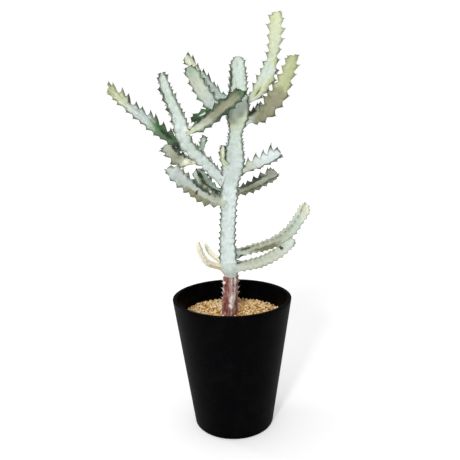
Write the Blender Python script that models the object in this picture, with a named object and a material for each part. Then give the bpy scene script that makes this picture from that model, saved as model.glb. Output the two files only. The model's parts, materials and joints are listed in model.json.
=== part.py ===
"""A grafted white euphorbia in a tapered black plastic pot.

The pot stands on z = 0 with its axis on the z axis. +X is to the right and +Y is away from the front.
Every stem is its own solid. It grows along legs, each a length, a compass heading and a rise, from a
point on the stem that carries it, and ends a hair short of that stem's skin.
"""

import math
from collections import namedtuple

import bmesh
import bpy
from mathutils import Matrix, Vector

MM = 0.001

# Pot
POT_HEIGHT = 0.270
POT_TOP_RADIUS = 0.120
POT_FOOT_RADIUS = 0.081
FOOT_ROUNDING = 0.005
LIP_WALL = 0.008
LIP_DEPTH = 0.042
BODY_WALL = 0.0045
FLOOR_THICKNESS = 0.005
UNDERSIDE_RISE = 0.004
FOOT_RING_WIDTH = 0.010
CENTRE_PAD_RADIUS = 0.018
DRAIN_HOLES = 6
DRAIN_HOLE_RADIUS = 0.006
DRAIN_CIRCLE_RADIUS = 0.044
RIM_ROUNDING = 0.0015
ROUND_STEPS = 48

# Fill
GAP = 0.0003
SOCKET_GAP = 0.0005
GRAVEL_TOP = 0.2345
GRAVEL_CROWN = 0.003

# Stock and graft
STOCK_FOOT = Vector((-0.009, 0.0, 0.162))
ROOTS = 5
ROOT_START = 0.018
ROOT_REACH = 0.055
ROOT_RADIUS = 0.0055

# Share of the crest radius at which the skin lies between two ribs, by number of ribs
FURROW = {3: 0.56, 4: 0.74}
# Furrow depth fades to a round neck where a stem leaves its parent
NECK_FURROW = 0.93
TOOTH_LEAN = 0.45
TIP_LENGTH = 0.007
CURVE_STEPS = 10

BARK_RED = (0.26, 0.075, 0.065, 1.0)
SKIN_WHITE = (0.72, 0.78, 0.71, 1.0)
SKIN_CREAM = (0.83, 0.79, 0.52, 1.0)
SKIN_GREEN = (0.33, 0.42, 0.28, 1.0)
PLASTIC_BLACK = (0.012, 0.012, 0.014, 1.0)
SOIL_BROWN = (0.11, 0.07, 0.045, 1.0)
GRAVEL_TAN = (0.62, 0.42, 0.21, 1.0)

# Lengths and radii in millimetres, angles in degrees. Heading 0 is right, 90 is away, 270 is to the front.
# legs: (length, heading, rise). girth: (share of the length, crest radius without the teeth).
# turn: how far the first rib is turned from the upper side. bare: length with no teeth at the foot.
Stem = namedtuple("Stem", "name parent share legs girth ribs turn pitch tooth bare colour")

STOCK = Stem(
    "rootstock", None, 0.0, ((45, 0, 87), (45, 0, 87), (30, 0, 87), (18, 0, 88), (12, 0, 90)),
    ((0, 9), (0.2, 13.5), (0.85, 14), (1, 13.5)), 4, 10, 11, 1.8, 80, BARK_RED,
)

MAIN_STEM = Stem(
    "main_stem", None, 0.0,
    ((8, 0, 90), (24, 180, 81), (45, 180, 89), (50, 0, 87), (40, 0, 86), (29, 0, 83), (29, 0, 81),
     (29, 0, 83), (28, 0, 85), (28, 0, 83), (28, 0, 85), (27, 0, 90), (57, 0, 89)),
    ((0, 14), (0.035, 19), (0.075, 24), (0.12, 21.5), (0.18, 20), (0.33, 20), (0.38, 22), (0.43, 20.5),
     (0.47, 23), (0.51, 28), (0.55, 28), (0.60, 23), (0.64, 17), (0.68, 16.5), (0.72, 19), (0.76, 25),
     (0.80, 26), (0.84, 23), (0.88, 21.5), (0.97, 20.5), (1, 12)),
    4, 45, 12.5, 3, 20, SKIN_WHITE,
)

BRANCHES = (
    Stem("low_left_long", "main_stem", 0.040,
         ((32, 199, 16), (18, 209, 28), (19, 202, 55), (17, 210, 69), (11, 236, 81)),
         ((0, 5.5), (0.4, 6), (0.9, 6), (1, 4)), 4, 0, 10, 0.8, 30, SKIN_CREAM),
    Stem("low_left_short", "main_stem", 0.060, ((27, 161, 24), (16, 150, 31), (12, 145, 44), (12, 141, 56)),
         ((0, 5), (0.9, 5.5), (1, 3.5)), 4, 0, 10, 0.8, 28, SKIN_CREAM),
    Stem("low_right_back", "main_stem", 0.100,
         ((41, 14, 12), (36, 13, 11), (36, 14, 19), (35, 12, 38), (35, 12, 55), (20, 16, 70)),
         ((0, 8), (0.2, 9.5), (0.4, 11.5), (0.6, 12.5), (0.95, 12.5), (1, 8)), 4, 45, 11, 2, 28, SKIN_WHITE),
    Stem("low_right_front", "main_stem", 0.043,
         ((39, 342, 12), (34, 342, 18), (34, 344, 30), (29, 343, 42), (10, 340, 55)),
         ((0, 9), (0.2, 11), (0.5, 13), (0.94, 13), (1, 8)), 4, 45, 11, 2, 28, SKIN_WHITE),
    Stem("mid_left_front", "main_stem", 0.354,
         ((23, 219, 11), (20, 221, 14), (20, 217, 25), (20, 215, 32), (18, 214, 38), (53, 215, 37)),
         ((0, 8), (0.15, 9), (0.4, 15), (0.7, 16), (0.94, 15), (1, 9)), 3, 90, 17, 4, 32, SKIN_WHITE),
    Stem("mid_left_back", "main_stem", 0.375,
         ((19, 150, 16), (20, 150, 24), (19, 150, 33), (17, 149, 47), (19, 142, 59)),
         ((0, 8), (0.3, 11), (0.6, 14), (0.94, 13), (1, 8)), 3, 60, 16, 4, 32, SKIN_WHITE),
    Stem("left_limb", "main_stem", 0.463,
         ((29, 193, 20), (23, 195, 48), (18, 197, 44), (18, 198, 41), (19, 199, 50), (16, 208, 57),
          (15, 218, 72), (13, 236, 74), (31, 218, 68), (27, 206, 65), (23, 214, 73), (10, 234, 76)),
         ((0, 14), (0.1, 13), (0.25, 13.5), (0.4, 14.5), (0.5, 16.5), (0.6, 17.5), (0.7, 15), (0.8, 13),
          (0.9, 11.5), (0.97, 11), (1, 7)), 4, 10, 18, 4.5, 38, SKIN_WHITE),
    Stem("mid_right_upper", "main_stem", 0.500,
         ((17, 332, 1), (18, 332, 17), (18, 332, 22), (17, 334, 20), (34, 337, 24)),
         ((0, 9), (0.25, 9), (0.5, 12), (0.8, 13), (0.95, 12), (1, 8)), 3, 5, 17, 6, 38, SKIN_WHITE),
    Stem("mid_right_lower", "main_stem", 0.402,
         ((34, 28, 3), (17, 26, 16), (17, 26, 19), (18, 26, 25), (27, 25, 21)),
         ((0, 8), (0.25, 9), (0.55, 14), (0.94, 14), (1, 8)), 3, 330, 16, 4, 34, SKIN_WHITE),
    Stem("small_left", "main_stem", 0.535, ((21, 230, 4), (13, 212, 64), (11, 180, 86), (9, 0, 86)),
         ((0, 6), (0.5, 6.5), (0.9, 7), (1, 5)), 4, 0, 12, 1.5, 30, SKIN_GREEN),
    Stem("right_arm", "main_stem", 0.705,
         ((18, 332, 17), (21, 324, 14), (18, 331, 20), (17, 334, 37), (17, 339, 49), (16, 335, 53),
          (29, 342, 65), (27, 0, 70), (13, 0, 77)),
         ((0, 7.5), (0.2, 8), (0.38, 14), (0.55, 18), (0.68, 16.5), (0.8, 12.5), (0.96, 12.5), (1, 8)),
         3, 30, 17, 4.5, 34, SKIN_CREAM),
    Stem("right_inner", "main_stem", 0.727, ((22, 34, 12), (13, 31, 29), (32, 29, 38)),
         ((0, 6), (0.4, 7), (0.9, 8.5), (1, 5)), 3, 30, 13, 2.5, 30, SKIN_GREEN),
    Stem("upper_left", "main_stem", 0.758,
         ((20, 198, 14), (17, 187, 13), (15, 180, 35), (16, 169, 50), (17, 163, 53), (32, 162, 60),
          (15, 155, 62)),
         ((0, 8), (0.2, 8.5), (0.4, 13), (0.6, 15), (0.92, 14), (1, 8)), 3, 90, 17, 4, 30, SKIN_WHITE),
    Stem("green_back", "main_stem", 0.775, ((31, 127, 4), (25, 143, 0), (22, 147, -11), (21, 157, -20),
         (19, 159, -27)),
         ((0, 7), (0.5, 9), (0.92, 8.5), (1, 5.5)), 3, 0, 15, 3, 32, SKIN_GREEN),
    Stem("right_tall", "main_stem", 0.797,
         ((17, 337, 24), (14, 343, 17), (14, 344, 42), (15, 354, 53), (15, 8, 60), (16, 10, 69), (15, 13, 73),
          (15, 18, 77), (37, 27, 83), (19, 53, 83), (15, 36, 84)),
         ((0, 8), (0.15, 8), (0.28, 14), (0.4, 16.5), (0.52, 13.5), (0.6, 9.5), (0.68, 11.5), (0.8, 13.5),
          (0.96, 13), (1, 8)), 3, 30, 17, 4, 32, SKIN_CREAM),
    Stem("upper_left_back", "main_stem", 0.810,
         ((23, 141, 13), (18, 152, 19), (18, 147, 37), (18, 152, 45), (35, 155, 49), (18, 157, 55),
          (18, 161, 48)),
         ((0, 7), (0.2, 7.5), (0.35, 13), (0.5, 14.5), (0.62, 13.5), (0.76, 7.5), (0.85, 10.5), (0.96, 11),
          (1, 7)), 3, 90, 17, 3.5, 32, SKIN_CREAM),
    Stem("limb_lower", "left_limb", 0.340, ((14, 126, -39), (15, 147, -16), (14, 153, 15), (15, 157, 34),
         (28, 157, 49)),
         ((0, 8), (0.3, 9), (0.55, 13), (0.94, 12), (1, 8)), 3, 90, 16, 4, 28, SKIN_WHITE),
    Stem("limb_shoot", "left_limb", 0.370, ((11, 23, 23), (10, 19, 50), (19, 25, 76)),
         ((0, 6), (0.5, 6), (0.9, 6.5), (1, 4.5)), 3, 0, 11, 2, 26, SKIN_GREEN),
    Stem("far_left", "left_limb", 0.430,
         ((17, 159, 19), (21, 161, 30), (22, 164, 35), (40, 167, 38), (38, 174, 38), (18, 176, 44),
          (35, 171, 41)),
         ((0, 9), (0.12, 9.5), (0.3, 12), (0.45, 13.5), (0.62, 12), (0.7, 10.5), (0.8, 11), (0.96, 10.5),
          (1, 7)), 3, 90, 17, 5, 28, SKIN_GREEN),
    Stem("crossing_arm", "left_limb", 0.585,
         ((17, 339, -10), (19, 338, 15), (19, 338, 30), (18, 345, 34), (38, 350, 38), (16, 351, 38),
          (11, 354, 33)),
         ((0, 7), (0.15, 7), (0.4, 12), (0.6, 14), (0.94, 12.5), (1, 8)), 3, 90, 17, 3.5, 34, SKIN_GREEN),
)


def clear_scene():
    for thing in list(bpy.data.objects):
        bpy.data.objects.remove(thing)


def material(name, colour, roughness):
    made = bpy.data.materials.new(name)
    made.use_nodes = True
    shader = made.node_tree.nodes["Principled BSDF"]
    shader.inputs["Base Color"].default_value = colour
    shader.inputs["Roughness"].default_value = roughness
    shader.inputs["Metallic"].default_value = 0.0
    return made


def add_object(name, bm, made_of=None):
    """One named object from a bmesh, its faces pointing out."""
    bmesh.ops.recalc_face_normals(bm, faces=bm.faces)
    mesh = bpy.data.meshes.new(name)
    bm.to_mesh(mesh)
    bm.free()
    thing = bpy.data.objects.new(name, mesh)
    bpy.context.scene.collection.objects.link(thing)
    if made_of:
        mesh.materials.append(made_of)
    return thing


def boolean(thing, operation, cutter):
    """Cuts or joins with a guide object, which isn't itself part of the model."""
    cutter.hide_render = True
    cutter.display_type = "WIRE"
    step = thing.modifiers.new(cutter.name, "BOOLEAN")
    step.operation = operation
    step.object = cutter


def revolve(name, profile, made_of=None, steps=ROUND_STEPS):
    """A turned solid from (radius, height) points that start and end on the z axis."""
    bm = bmesh.new()
    line = [bm.verts.new((radius, 0.0, height)) for radius, height in profile]
    edges = [bm.edges.new(pair) for pair in zip(line, line[1:])]
    bmesh.ops.spin(
        bm, geom=line + edges, cent=(0, 0, 0), axis=(0, 0, 1), angle=math.tau, steps=steps, use_merge=True
    )
    bmesh.ops.remove_doubles(bm, verts=bm.verts, dist=1e-6)
    return add_object(name, bm, made_of)


def pot_radius(height):
    """Outer radius of the pot's straight wall."""
    return POT_FOOT_RADIUS + (POT_TOP_RADIUS - POT_FOOT_RADIUS) * height / POT_HEIGHT


def floor_top():
    return UNDERSIDE_RISE + FLOOR_THICKNESS


def lip_bottom():
    return POT_HEIGHT - LIP_DEPTH


def inner_radius(height):
    """Inner radius of the pot: the thick lip above, the thinner body wall below it."""
    wall = LIP_WALL if height > lip_bottom() else BODY_WALL
    return pot_radius(height) - wall


def pot_profile():
    ring_inside = POT_FOOT_RADIUS - FOOT_ROUNDING - FOOT_RING_WIDTH
    points = [
        (0.0, 0.0),
        (CENTRE_PAD_RADIUS, 0.0),
        (CENTRE_PAD_RADIUS + 0.002, UNDERSIDE_RISE),
        (ring_inside - 0.002, UNDERSIDE_RISE),
        (ring_inside, 0.0),
    ]
    for step in range(4):
        turn = math.radians(30 * step)
        points.append((
            pot_radius(FOOT_ROUNDING) - FOOT_ROUNDING * (1 - math.sin(turn)),
            FOOT_ROUNDING * (1 - math.cos(turn)),
        ))
    points += [
        (pot_radius(POT_HEIGHT - RIM_ROUNDING), POT_HEIGHT - RIM_ROUNDING),
        (POT_TOP_RADIUS - RIM_ROUNDING, POT_HEIGHT),
        (POT_TOP_RADIUS - LIP_WALL + RIM_ROUNDING, POT_HEIGHT),
        (pot_radius(POT_HEIGHT - RIM_ROUNDING) - LIP_WALL, POT_HEIGHT - RIM_ROUNDING),
        (pot_radius(lip_bottom()) - LIP_WALL, lip_bottom()),
        (pot_radius(lip_bottom()) - BODY_WALL, lip_bottom() - 0.001),
        (pot_radius(floor_top()) - BODY_WALL, floor_top() + 0.003),
        (pot_radius(floor_top()) - BODY_WALL - 0.003, floor_top()),
        (0.0, floor_top()),
    ]
    return points


def make_pot():
    pot = revolve("pot", pot_profile(), material("black_plastic", PLASTIC_BLACK, 0.5))
    for index in range(DRAIN_HOLES):
        turn = math.tau * (index + 0.5) / DRAIN_HOLES
        bm = bmesh.new()
        bmesh.ops.create_cone(
            bm, cap_ends=True, segments=12, radius1=DRAIN_HOLE_RADIUS, radius2=DRAIN_HOLE_RADIUS,
            depth=4 * FLOOR_THICKNESS,
        )
        place = Vector((math.cos(turn), math.sin(turn), 0)) * DRAIN_CIRCLE_RADIUS
        bmesh.ops.translate(bm, verts=bm.verts, vec=place)
        boolean(pot, "DIFFERENCE", add_object(f"drain_cutter_{index}", bm))
    return pot


def direction(heading, rise):
    """Unit vector of a compass heading and a rise above the horizontal, in degrees."""
    flat, up = math.radians(heading), math.radians(rise)
    return Vector((math.cos(up) * math.cos(flat), math.cos(up) * math.sin(flat), math.sin(up)))


def course(start, legs):
    """Points of the smooth centreline through the ends of the legs."""
    joints = [start]
    for length, heading, rise in legs:
        joints.append(joints[-1] + direction(heading, rise) * length * MM)
    before = joints[0] * 2 - joints[1]
    after = joints[-1] * 2 - joints[-2]
    ends = [before, *joints, after]
    line = []
    for a, b, c, d in zip(ends, ends[1:], ends[2:], ends[3:]):
        for step in range(CURVE_STEPS):
            t = step / CURVE_STEPS
            line.append(
                b + 0.5 * ((c - a) * t + (2 * a - 5 * b + 4 * c - d) * t**2 + (3 * b - a - 3 * c + d) * t**3)
            )
    return [*line, joints[-1]]


def walk(line):
    """Running length at each point of a line."""
    travelled = [0.0]
    for a, b in zip(line, line[1:]):
        travelled.append(travelled[-1] + (b - a).length)
    return travelled


def between(places, values, place):
    """Value at a place, in a straight line between the stated ones."""
    for a, b, u, v in zip(places, places[1:], values, values[1:]):
        if place <= b:
            share = (place - a) / (b - a)
            return u + (v - u) * share
    return values[-1]


def ring_frames(line, places, stem):
    """Centre, along, and two cross directions at each place, carried along without twisting."""
    travelled = walk(line)
    frames = []
    across = None
    for place in places:
        centre = between(travelled, line, place)
        ahead = between(travelled, line, min(place + 0.002, travelled[-1]))
        behind = between(travelled, line, max(place - 0.002, 0.0))
        along = (ahead - behind).normalized()
        if place == places[0]:
            along = direction(*stem.legs[0][1:])
        elif place == places[-1]:
            along = direction(*stem.legs[-1][1:])
        if across is None:
            upper = Vector((0, 0, 1)) if along.z < 0.9 else Vector((1, 0, 0))
            across = Matrix.Rotation(math.radians(stem.turn), 3, along) @ (upper - along * upper.dot(along))
        across = (across - along * across.dot(along)).normalized()
        frames.append((centre, along, across, along.cross(across)))
    return frames


def teeth_places(stem, length):
    """Ring places: at the foot, where the teeth begin, then two to a tooth, up to the tip."""
    pitch = stem.pitch * MM
    first = stem.bare * MM
    count = max(1, round((length - TIP_LENGTH - first) / pitch * 2))
    step = (length - TIP_LENGTH - first) / count
    return [0.0, first * 0.55, *[first + step * i for i in range(count + 1)], length]


def stem_mesh(stem, start, swell=0.0, blunt=False):
    """Ribbed stem with teeth along its ribs. swell moves the skin outwards, for a clearance cutter."""
    line = course(start, stem.legs)
    length = walk(line)[-1]
    places = teeth_places(stem, length)
    shares, radii = zip(*stem.girth)
    bm = bmesh.new()
    rings = []
    for index, (place, frame) in enumerate(zip(places, ring_frames(line, places, stem))):
        centre, along, side, other = frame
        crest = between(shares, radii, place / length) * MM
        rounding = 1 - min(1.0, max(0.0, (place / (stem.bare * MM) - 0.5) * 2))
        furrow = FURROW[stem.ribs] + (NECK_FURROW - FURROW[stem.ribs]) * rounding
        toothed = 2 <= index < len(places) - 1
        ring = []
        for corner in range(2 * stem.ribs):
            angle = math.pi * corner / stem.ribs
            on_rib = corner % 2 == 0
            radius = crest if on_rib else crest * furrow
            lean = 0.0
            if on_rib and toothed and (corner // 2 + index) % 2 == 0:
                radius += stem.tooth * MM
                lean = stem.tooth * MM * TOOTH_LEAN
            outward = side * math.cos(angle) + other * math.sin(angle)
            ring.append(bm.verts.new(centre + outward * (radius + swell) + along * lean))
        rings.append(ring)
    for lower, upper in zip(rings, rings[1:]):
        for i in range(len(lower)):
            j = (i + 1) % len(lower)
            bm.faces.new((lower[i], lower[j], upper[j]))
            bm.faces.new((lower[i], upper[j], upper[i]))
    foot_centre = line[0]
    tip_centre = line[-1] if blunt else line[-1] + (line[-1] - line[-2]).normalized() * (0.002 + swell)
    for ring, middle in ((rings[0], foot_centre), (rings[-1], tip_centre)):
        hub = bm.verts.new(middle)
        for i in range(len(ring)):
            bm.faces.new((ring[i], ring[(i + 1) % len(ring)], hub))
    return bm, line


def point_along(line, share):
    travelled = walk(line)
    return between(travelled, line, share * travelled[-1])


def make_stems():
    """The main stem on its graft, then each branch cut clear of the stem that carries it."""
    skins = {}
    lines = {}
    starts = {}
    for stem in (MAIN_STEM, *BRANCHES):
        if stem.colour not in skins:
            skins[stem.colour] = material(f"stem_skin_{len(skins)}", stem.colour, 0.55)
        if stem.parent:
            start = point_along(lines[stem.parent], stem.share)
        else:
            start = course(STOCK_FOOT, STOCK.legs)[-1] + Vector((0, 0, GAP))
        bm, lines[stem.name] = stem_mesh(stem, start)
        starts[stem.name] = start
        grown = add_object(stem.name, bm, skins[stem.colour])
        if stem.parent:
            carrier = next(s for s in (MAIN_STEM, *BRANCHES) if s.name == stem.parent)
            swollen, _ = stem_mesh(carrier, starts[stem.parent], SOCKET_GAP)
            boolean(grown, "DIFFERENCE", add_object(f"{stem.name}_seat_cutter", swollen))


def stock_mesh(swell=0.0):
    """The brown stock, from its buried foot up to the flat graft."""
    return stem_mesh(STOCK, STOCK_FOOT, swell, blunt=True)[0]


def root_mesh(index, swell=0.0):
    """One stout root, leaving the stock's foot and dipping as it tapers."""
    heading = 360 * index / ROOTS + 12
    legs = ((ROOT_REACH / MM * 0.5, heading, -35), (ROOT_REACH / MM * 0.5, heading + 15, -60))
    root = Stem(
        "root", None, 0.0, legs,
        ((0, ROOT_RADIUS / MM), (1, ROOT_RADIUS / MM * 0.4)), 3, 0, 30, 0, 50, BARK_RED,
    )
    return stem_mesh(root, STOCK_FOOT + Vector((0, 0, ROOT_START)), swell)[0]


def make_stock():
    stock = add_object("rootstock", stock_mesh(), material("stock_bark", BARK_RED, 0.8))
    for index in range(ROOTS):
        boolean(stock, "UNION", add_object(f"root_{index}", root_mesh(index)))


def make_fill():
    """Potting soil up to the lip, and the gravel layer on it, each with a socket for the stock."""
    lower, upper = floor_top() + GAP, lip_bottom() - 0.001 - GAP
    soil = revolve("potting_soil", [
        (0.0, lower),
        (pot_radius(lower) - BODY_WALL - 0.003 - 2 * GAP, lower),
        (pot_radius(floor_top()) - BODY_WALL - GAP, lower + 0.003 + GAP),
        (pot_radius(upper) - BODY_WALL - GAP, upper),
        (0.0, upper),
    ], material("soil", SOIL_BROWN, 0.95))
    bed = upper + GAP
    gravel = revolve("gravel_dressing", [
        (0.0, bed),
        (pot_radius(lip_bottom()) - LIP_WALL - 2 * GAP, bed),
        (inner_radius(GRAVEL_TOP) - 2 * GAP, GRAVEL_TOP - GRAVEL_CROWN),
        (inner_radius(GRAVEL_TOP) * 0.8, GRAVEL_TOP - GRAVEL_CROWN / 2),
        (inner_radius(GRAVEL_TOP) * 0.5, GRAVEL_TOP),
        (0.0, GRAVEL_TOP),
    ], material("gravel", GRAVEL_TAN, 0.9))
    boolean(soil, "DIFFERENCE", add_object("soil_socket_cutter", stock_mesh(SOCKET_GAP)))
    for index in range(ROOTS):
        boolean(soil, "DIFFERENCE", add_object(f"root_socket_cutter_{index}", root_mesh(index, SOCKET_GAP)))
    boolean(gravel, "DIFFERENCE", add_object("gravel_socket_cutter", stock_mesh(SOCKET_GAP)))


clear_scene()
make_pot()
make_fill()
make_stock()
make_stems()
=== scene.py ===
"""Looks of a grafted white euphorbia in a tapered black plastic pot.

The packed part is the fixed frame: every piece stands in it, in metres, with +X to the right, +Y away
from the front and +Z up. Each stem grows along the same legs as its solid does, with finer ribs and teeth.
"""

import json
import math
from collections import namedtuple

import bmesh
import bpy
import numpy as np
from bpy.props import FloatProperty, FloatVectorProperty, IntProperty, PointerProperty
from bpy.types import Operator, Panel, PropertyGroup
from mathutils import Matrix, Vector, noise

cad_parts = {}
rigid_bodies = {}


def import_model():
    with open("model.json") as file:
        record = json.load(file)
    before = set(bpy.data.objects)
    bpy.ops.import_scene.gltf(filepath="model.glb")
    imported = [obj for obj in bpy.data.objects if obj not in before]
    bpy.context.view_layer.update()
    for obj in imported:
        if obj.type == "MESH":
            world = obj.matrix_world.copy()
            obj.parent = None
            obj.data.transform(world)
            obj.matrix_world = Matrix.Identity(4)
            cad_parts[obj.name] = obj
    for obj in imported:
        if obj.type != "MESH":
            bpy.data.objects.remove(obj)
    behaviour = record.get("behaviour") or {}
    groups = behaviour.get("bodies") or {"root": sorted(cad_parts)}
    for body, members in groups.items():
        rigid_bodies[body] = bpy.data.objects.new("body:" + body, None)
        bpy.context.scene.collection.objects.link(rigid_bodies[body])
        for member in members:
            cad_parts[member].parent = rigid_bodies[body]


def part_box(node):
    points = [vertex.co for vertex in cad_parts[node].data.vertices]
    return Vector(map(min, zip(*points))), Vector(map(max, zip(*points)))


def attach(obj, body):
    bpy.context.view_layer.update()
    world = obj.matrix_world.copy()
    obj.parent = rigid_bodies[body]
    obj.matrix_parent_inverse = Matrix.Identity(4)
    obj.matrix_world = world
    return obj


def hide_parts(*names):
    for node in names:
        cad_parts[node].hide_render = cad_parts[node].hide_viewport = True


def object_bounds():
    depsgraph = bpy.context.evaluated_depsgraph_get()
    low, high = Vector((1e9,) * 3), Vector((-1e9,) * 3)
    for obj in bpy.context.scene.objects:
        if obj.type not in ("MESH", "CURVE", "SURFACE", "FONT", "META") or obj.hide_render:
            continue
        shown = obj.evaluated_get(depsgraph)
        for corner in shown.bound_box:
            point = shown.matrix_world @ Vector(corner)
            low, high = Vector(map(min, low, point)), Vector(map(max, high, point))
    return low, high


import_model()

bl_info = {
    "name": "Potted Euphorbia",
    "version": (1, 0, 0),
    "blender": (4, 5, 0),
    "location": "3D View > Sidebar > Euphorbia",
    "description": "Pot, granules, stock and toothed stems of a grafted white euphorbia",
    "category": "Object",
}

CAD_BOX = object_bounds()
MM = 0.001

# Pot: the height and the mouth come from the frame, the rest repeats the solid's own sizes
POT_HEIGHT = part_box("pot")[1].z
POT_TOP_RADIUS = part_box("pot")[1].x
POT_FOOT_RADIUS = 0.081
FOOT_ROUNDING = 0.005
LIP_WALL = 0.008
LIP_DEPTH = 0.042
BODY_WALL = 0.0045
FLOOR_TOP = 0.009
UNDERSIDE_RISE = 0.004
FOOT_RING_WIDTH = 0.010
CENTRE_PAD_RADIUS = 0.018
FOOT_EDGE = 0.001
FOOT_EDGE_RISE = 0.0006
DRAIN_HOLES = 6
DRAIN_HOLE_RADIUS = 0.006
DRAIN_CIRCLE_RADIUS = 0.044
DRAIN_CUTTER_LENGTH = 0.03
FLOOR_ROUNDING = 0.003
RIM_ROUNDING = 0.0015

# Fill
GRAVEL_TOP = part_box("gravel_dressing")[1].z
SOIL_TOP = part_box("potting_soil")[1].z
GRAVEL_CROWN = 0.003
BED_DEPTH = 0.006
BED_GAP = 0.0006
GRANULE_SHAPES = 14
GRANULE_CUTS = 9
GRANULE_TRIES = 9
GRANULE_SINK = 0.84
GRANULE_BIAS = 1.6
GRANULE_PLAY = 0.0004
STOCK_CLEARANCE = 0.0145
DAMP_PATCH = 28
PALE_SHARE = 0.05
DARK_FROM = 0.78

# Stock
STOCK_FOOT = (-0.009, 0.0, 0.162)
GRAFT_GAP = 0.0003
ROOTS = 5
ROOT_START = 0.018
ROOT_REACH = 55
ROOT_RADIUS = 5.5

# Stem skins
CURVE_STEPS = 20
TANGENT_REACH = 0.003
COLUMNS_PER_RIB = 16
CREST_CROWDING = 1.6
RINGS_PER_TOOTH = 16
CREST_ROUNDING = 16
HOLLOW = {3: 0.24, 4: 0.11}
NECK_SECTION = 0.93
COLLAR = 0.6
COLLAR_LENGTH = 0.009
TOOTH_ROOT = 0.0058
TOOTH_TIP = 0.0013
TOOTH_CURVE = 1.4
TOOTH_LEAN = 0.6
SCOOP = 0.36
SCOOP_WIDTH = 0.006
BUTTRESS = 0.18
BUTTRESS_WIDTH = 0.009
CROWDED_TIP = 0.022
CROWDING = 0.6
CROWN_LEAN = 0.5
CROWN_REACH = 0.008
CROWN_TEETH = 0.5
TIP_TAPER = 0.30
TIP_REACH = 0.007
FOOT = 0.4
LUMP_HEIGHT = 0.00010
LUMPS = ((0.009, 5), (0.014, 3), (0.022, 2))
TIP_TURNS = (15, 30, 45, 60, 75)
TIP_CAP = 0.3
BLUNT_CAP = 0.06
RIB_WANDER = 0.05
RIB_WANDER_LENGTH = 0.018
CREST_EDGE = 0.97
NOMINAL_RADIUS = 0.014
SEED_STEP = 0.37

# Teeth along a rib, and their spines
TOOTH_SIZES = (0.55, 1.2)
TOOTH_SPAN = 0.52
FIRST_TOOTH = 0.7
FULL_TOOTH = 0.0015
TIP_MARGIN = 0.001
TIP_TOOTH_ROOM = 0.003
TIP_TOOTH_INSET = 0.0012
SPINE_SIDES = 5
SHORT_SPINE = 0.4

# Clumps of dry flowers, in millimetres
FLOWER_FLATNESS = (1.0, 0.55, 0.8)
FLOWER_RADII = (1.2, 2.3)
FLOWER_STATIONS = 100
FLOWER_RISE = 5.5
FLOWER_SPREAD = 2.4
FLOWER_JITTER = 0.6

# Stage
KEY_PLACE = (-0.82, -2.68, 1.47)
KEY_SIZE = 0.35
SHEEN_PLACE = (-1.2, 0.55, 0.55)
SHEEN_TARGET = (0, 0, 0.2)
SHEEN_SIZE = (0.25, 1.1)
FLOOR_RADIUS = 9.0
FLOOR_GLOW = (0.24, 0.6)
FLOOR_GLOW_REACH = (0.7, 2.2)
FLOOR_BOUNCE = 0.62
CAMERA_PLACE = (-0.0014, -1.0, 0.605)
CAMERA_DOWN = 11.23
CAMERA_ROLL = -1.15
SENSOR_WIDTH = 36.0
FOCAL_LENGTH = 40.42

# Lengths and radii in millimetres, angles in degrees. Heading 0 is right, 90 is away, 270 is to the front.
# legs: (length, heading, rise). girth: (share of the length, crest radius without the teeth).
# turn: how far the first rib is turned from the upper side. bare: length with no teeth at the foot.
Stem = namedtuple("Stem", "name parent share legs girth ribs turn pitch teeth bare slot")

STOCK = Stem(
    "rootstock", None, 0.0, ((45, 0, 87), (45, 0, 87), (30, 0, 87), (18, 0, 88), (12, 0, 90)),
    ((0, 9), (0.2, 15), (0.5, 16.5), (0.85, 15.5), (1, 15)),
    4, 10, 11, (1.8, 1.4, 1.8, 1.4), 70, "stock_bark",
)

MAIN_STEM = Stem(
    "main_stem", None, 0.0,
    ((8, 0, 90), (24, 180, 81), (45, 180, 89), (50, 0, 87), (40, 0, 86), (29, 0, 83), (29, 0, 81),
     (29, 0, 83), (28, 0, 85), (28, 0, 83), (28, 0, 85), (27, 0, 90), (57, 0, 89)),
    ((0, 14), (0.035, 19), (0.075, 24), (0.12, 21.5), (0.18, 20), (0.33, 20), (0.38, 22), (0.43, 20.5),
     (0.47, 23), (0.51, 28), (0.55, 28), (0.60, 23), (0.64, 17), (0.68, 16.5), (0.705, 21), (0.73, 26),
     (0.76, 27.5), (0.80, 26.5), (0.84, 23), (0.88, 21.5), (0.95, 19.5), (0.985, 15), (1, 9)),
    4, 45, 12.5, (3.8, 3.4, 3.8, 3.4), 42, "stem_white",
)

LOW_ARMS = (
    Stem("low_left_long", "main_stem", 0.040,
         ((32, 199, 16), (18, 209, 28), (19, 202, 55), (17, 210, 69), (11, 236, 81)),
         ((0, 5.5), (0.4, 6), (0.9, 6), (1, 4)), 4, 0, 10, (0.8,) * 4, 30, "stem_cream"),
    Stem("low_left_short", "main_stem", 0.060, ((27, 161, 24), (16, 150, 31), (12, 145, 44), (12, 141, 56)),
         ((0, 5), (0.9, 5.5), (1, 3.5)), 4, 0, 10, (0.8,) * 4, 28, "stem_cream"),
    Stem("low_right_back", "main_stem", 0.100,
         ((41, 14, 12), (36, 13, 11), (36, 14, 19), (35, 12, 38), (35, 12, 55), (20, 16, 70)),
         ((0, 8), (0.2, 9.5), (0.4, 11.5), (0.6, 12.5), (0.95, 12.5), (1, 8)), 4, 45, 11, (2.2,) * 4, 28,
         "stem_white"),
    Stem("low_right_front", "main_stem", 0.043,
         ((39, 342, 12), (34, 342, 18), (34, 344, 30), (29, 343, 42), (10, 340, 55)),
         ((0, 9), (0.2, 11), (0.5, 13), (0.94, 13), (1, 8)), 4, 45, 11, (2.2,) * 4, 28, "stem_white"),
)

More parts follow.
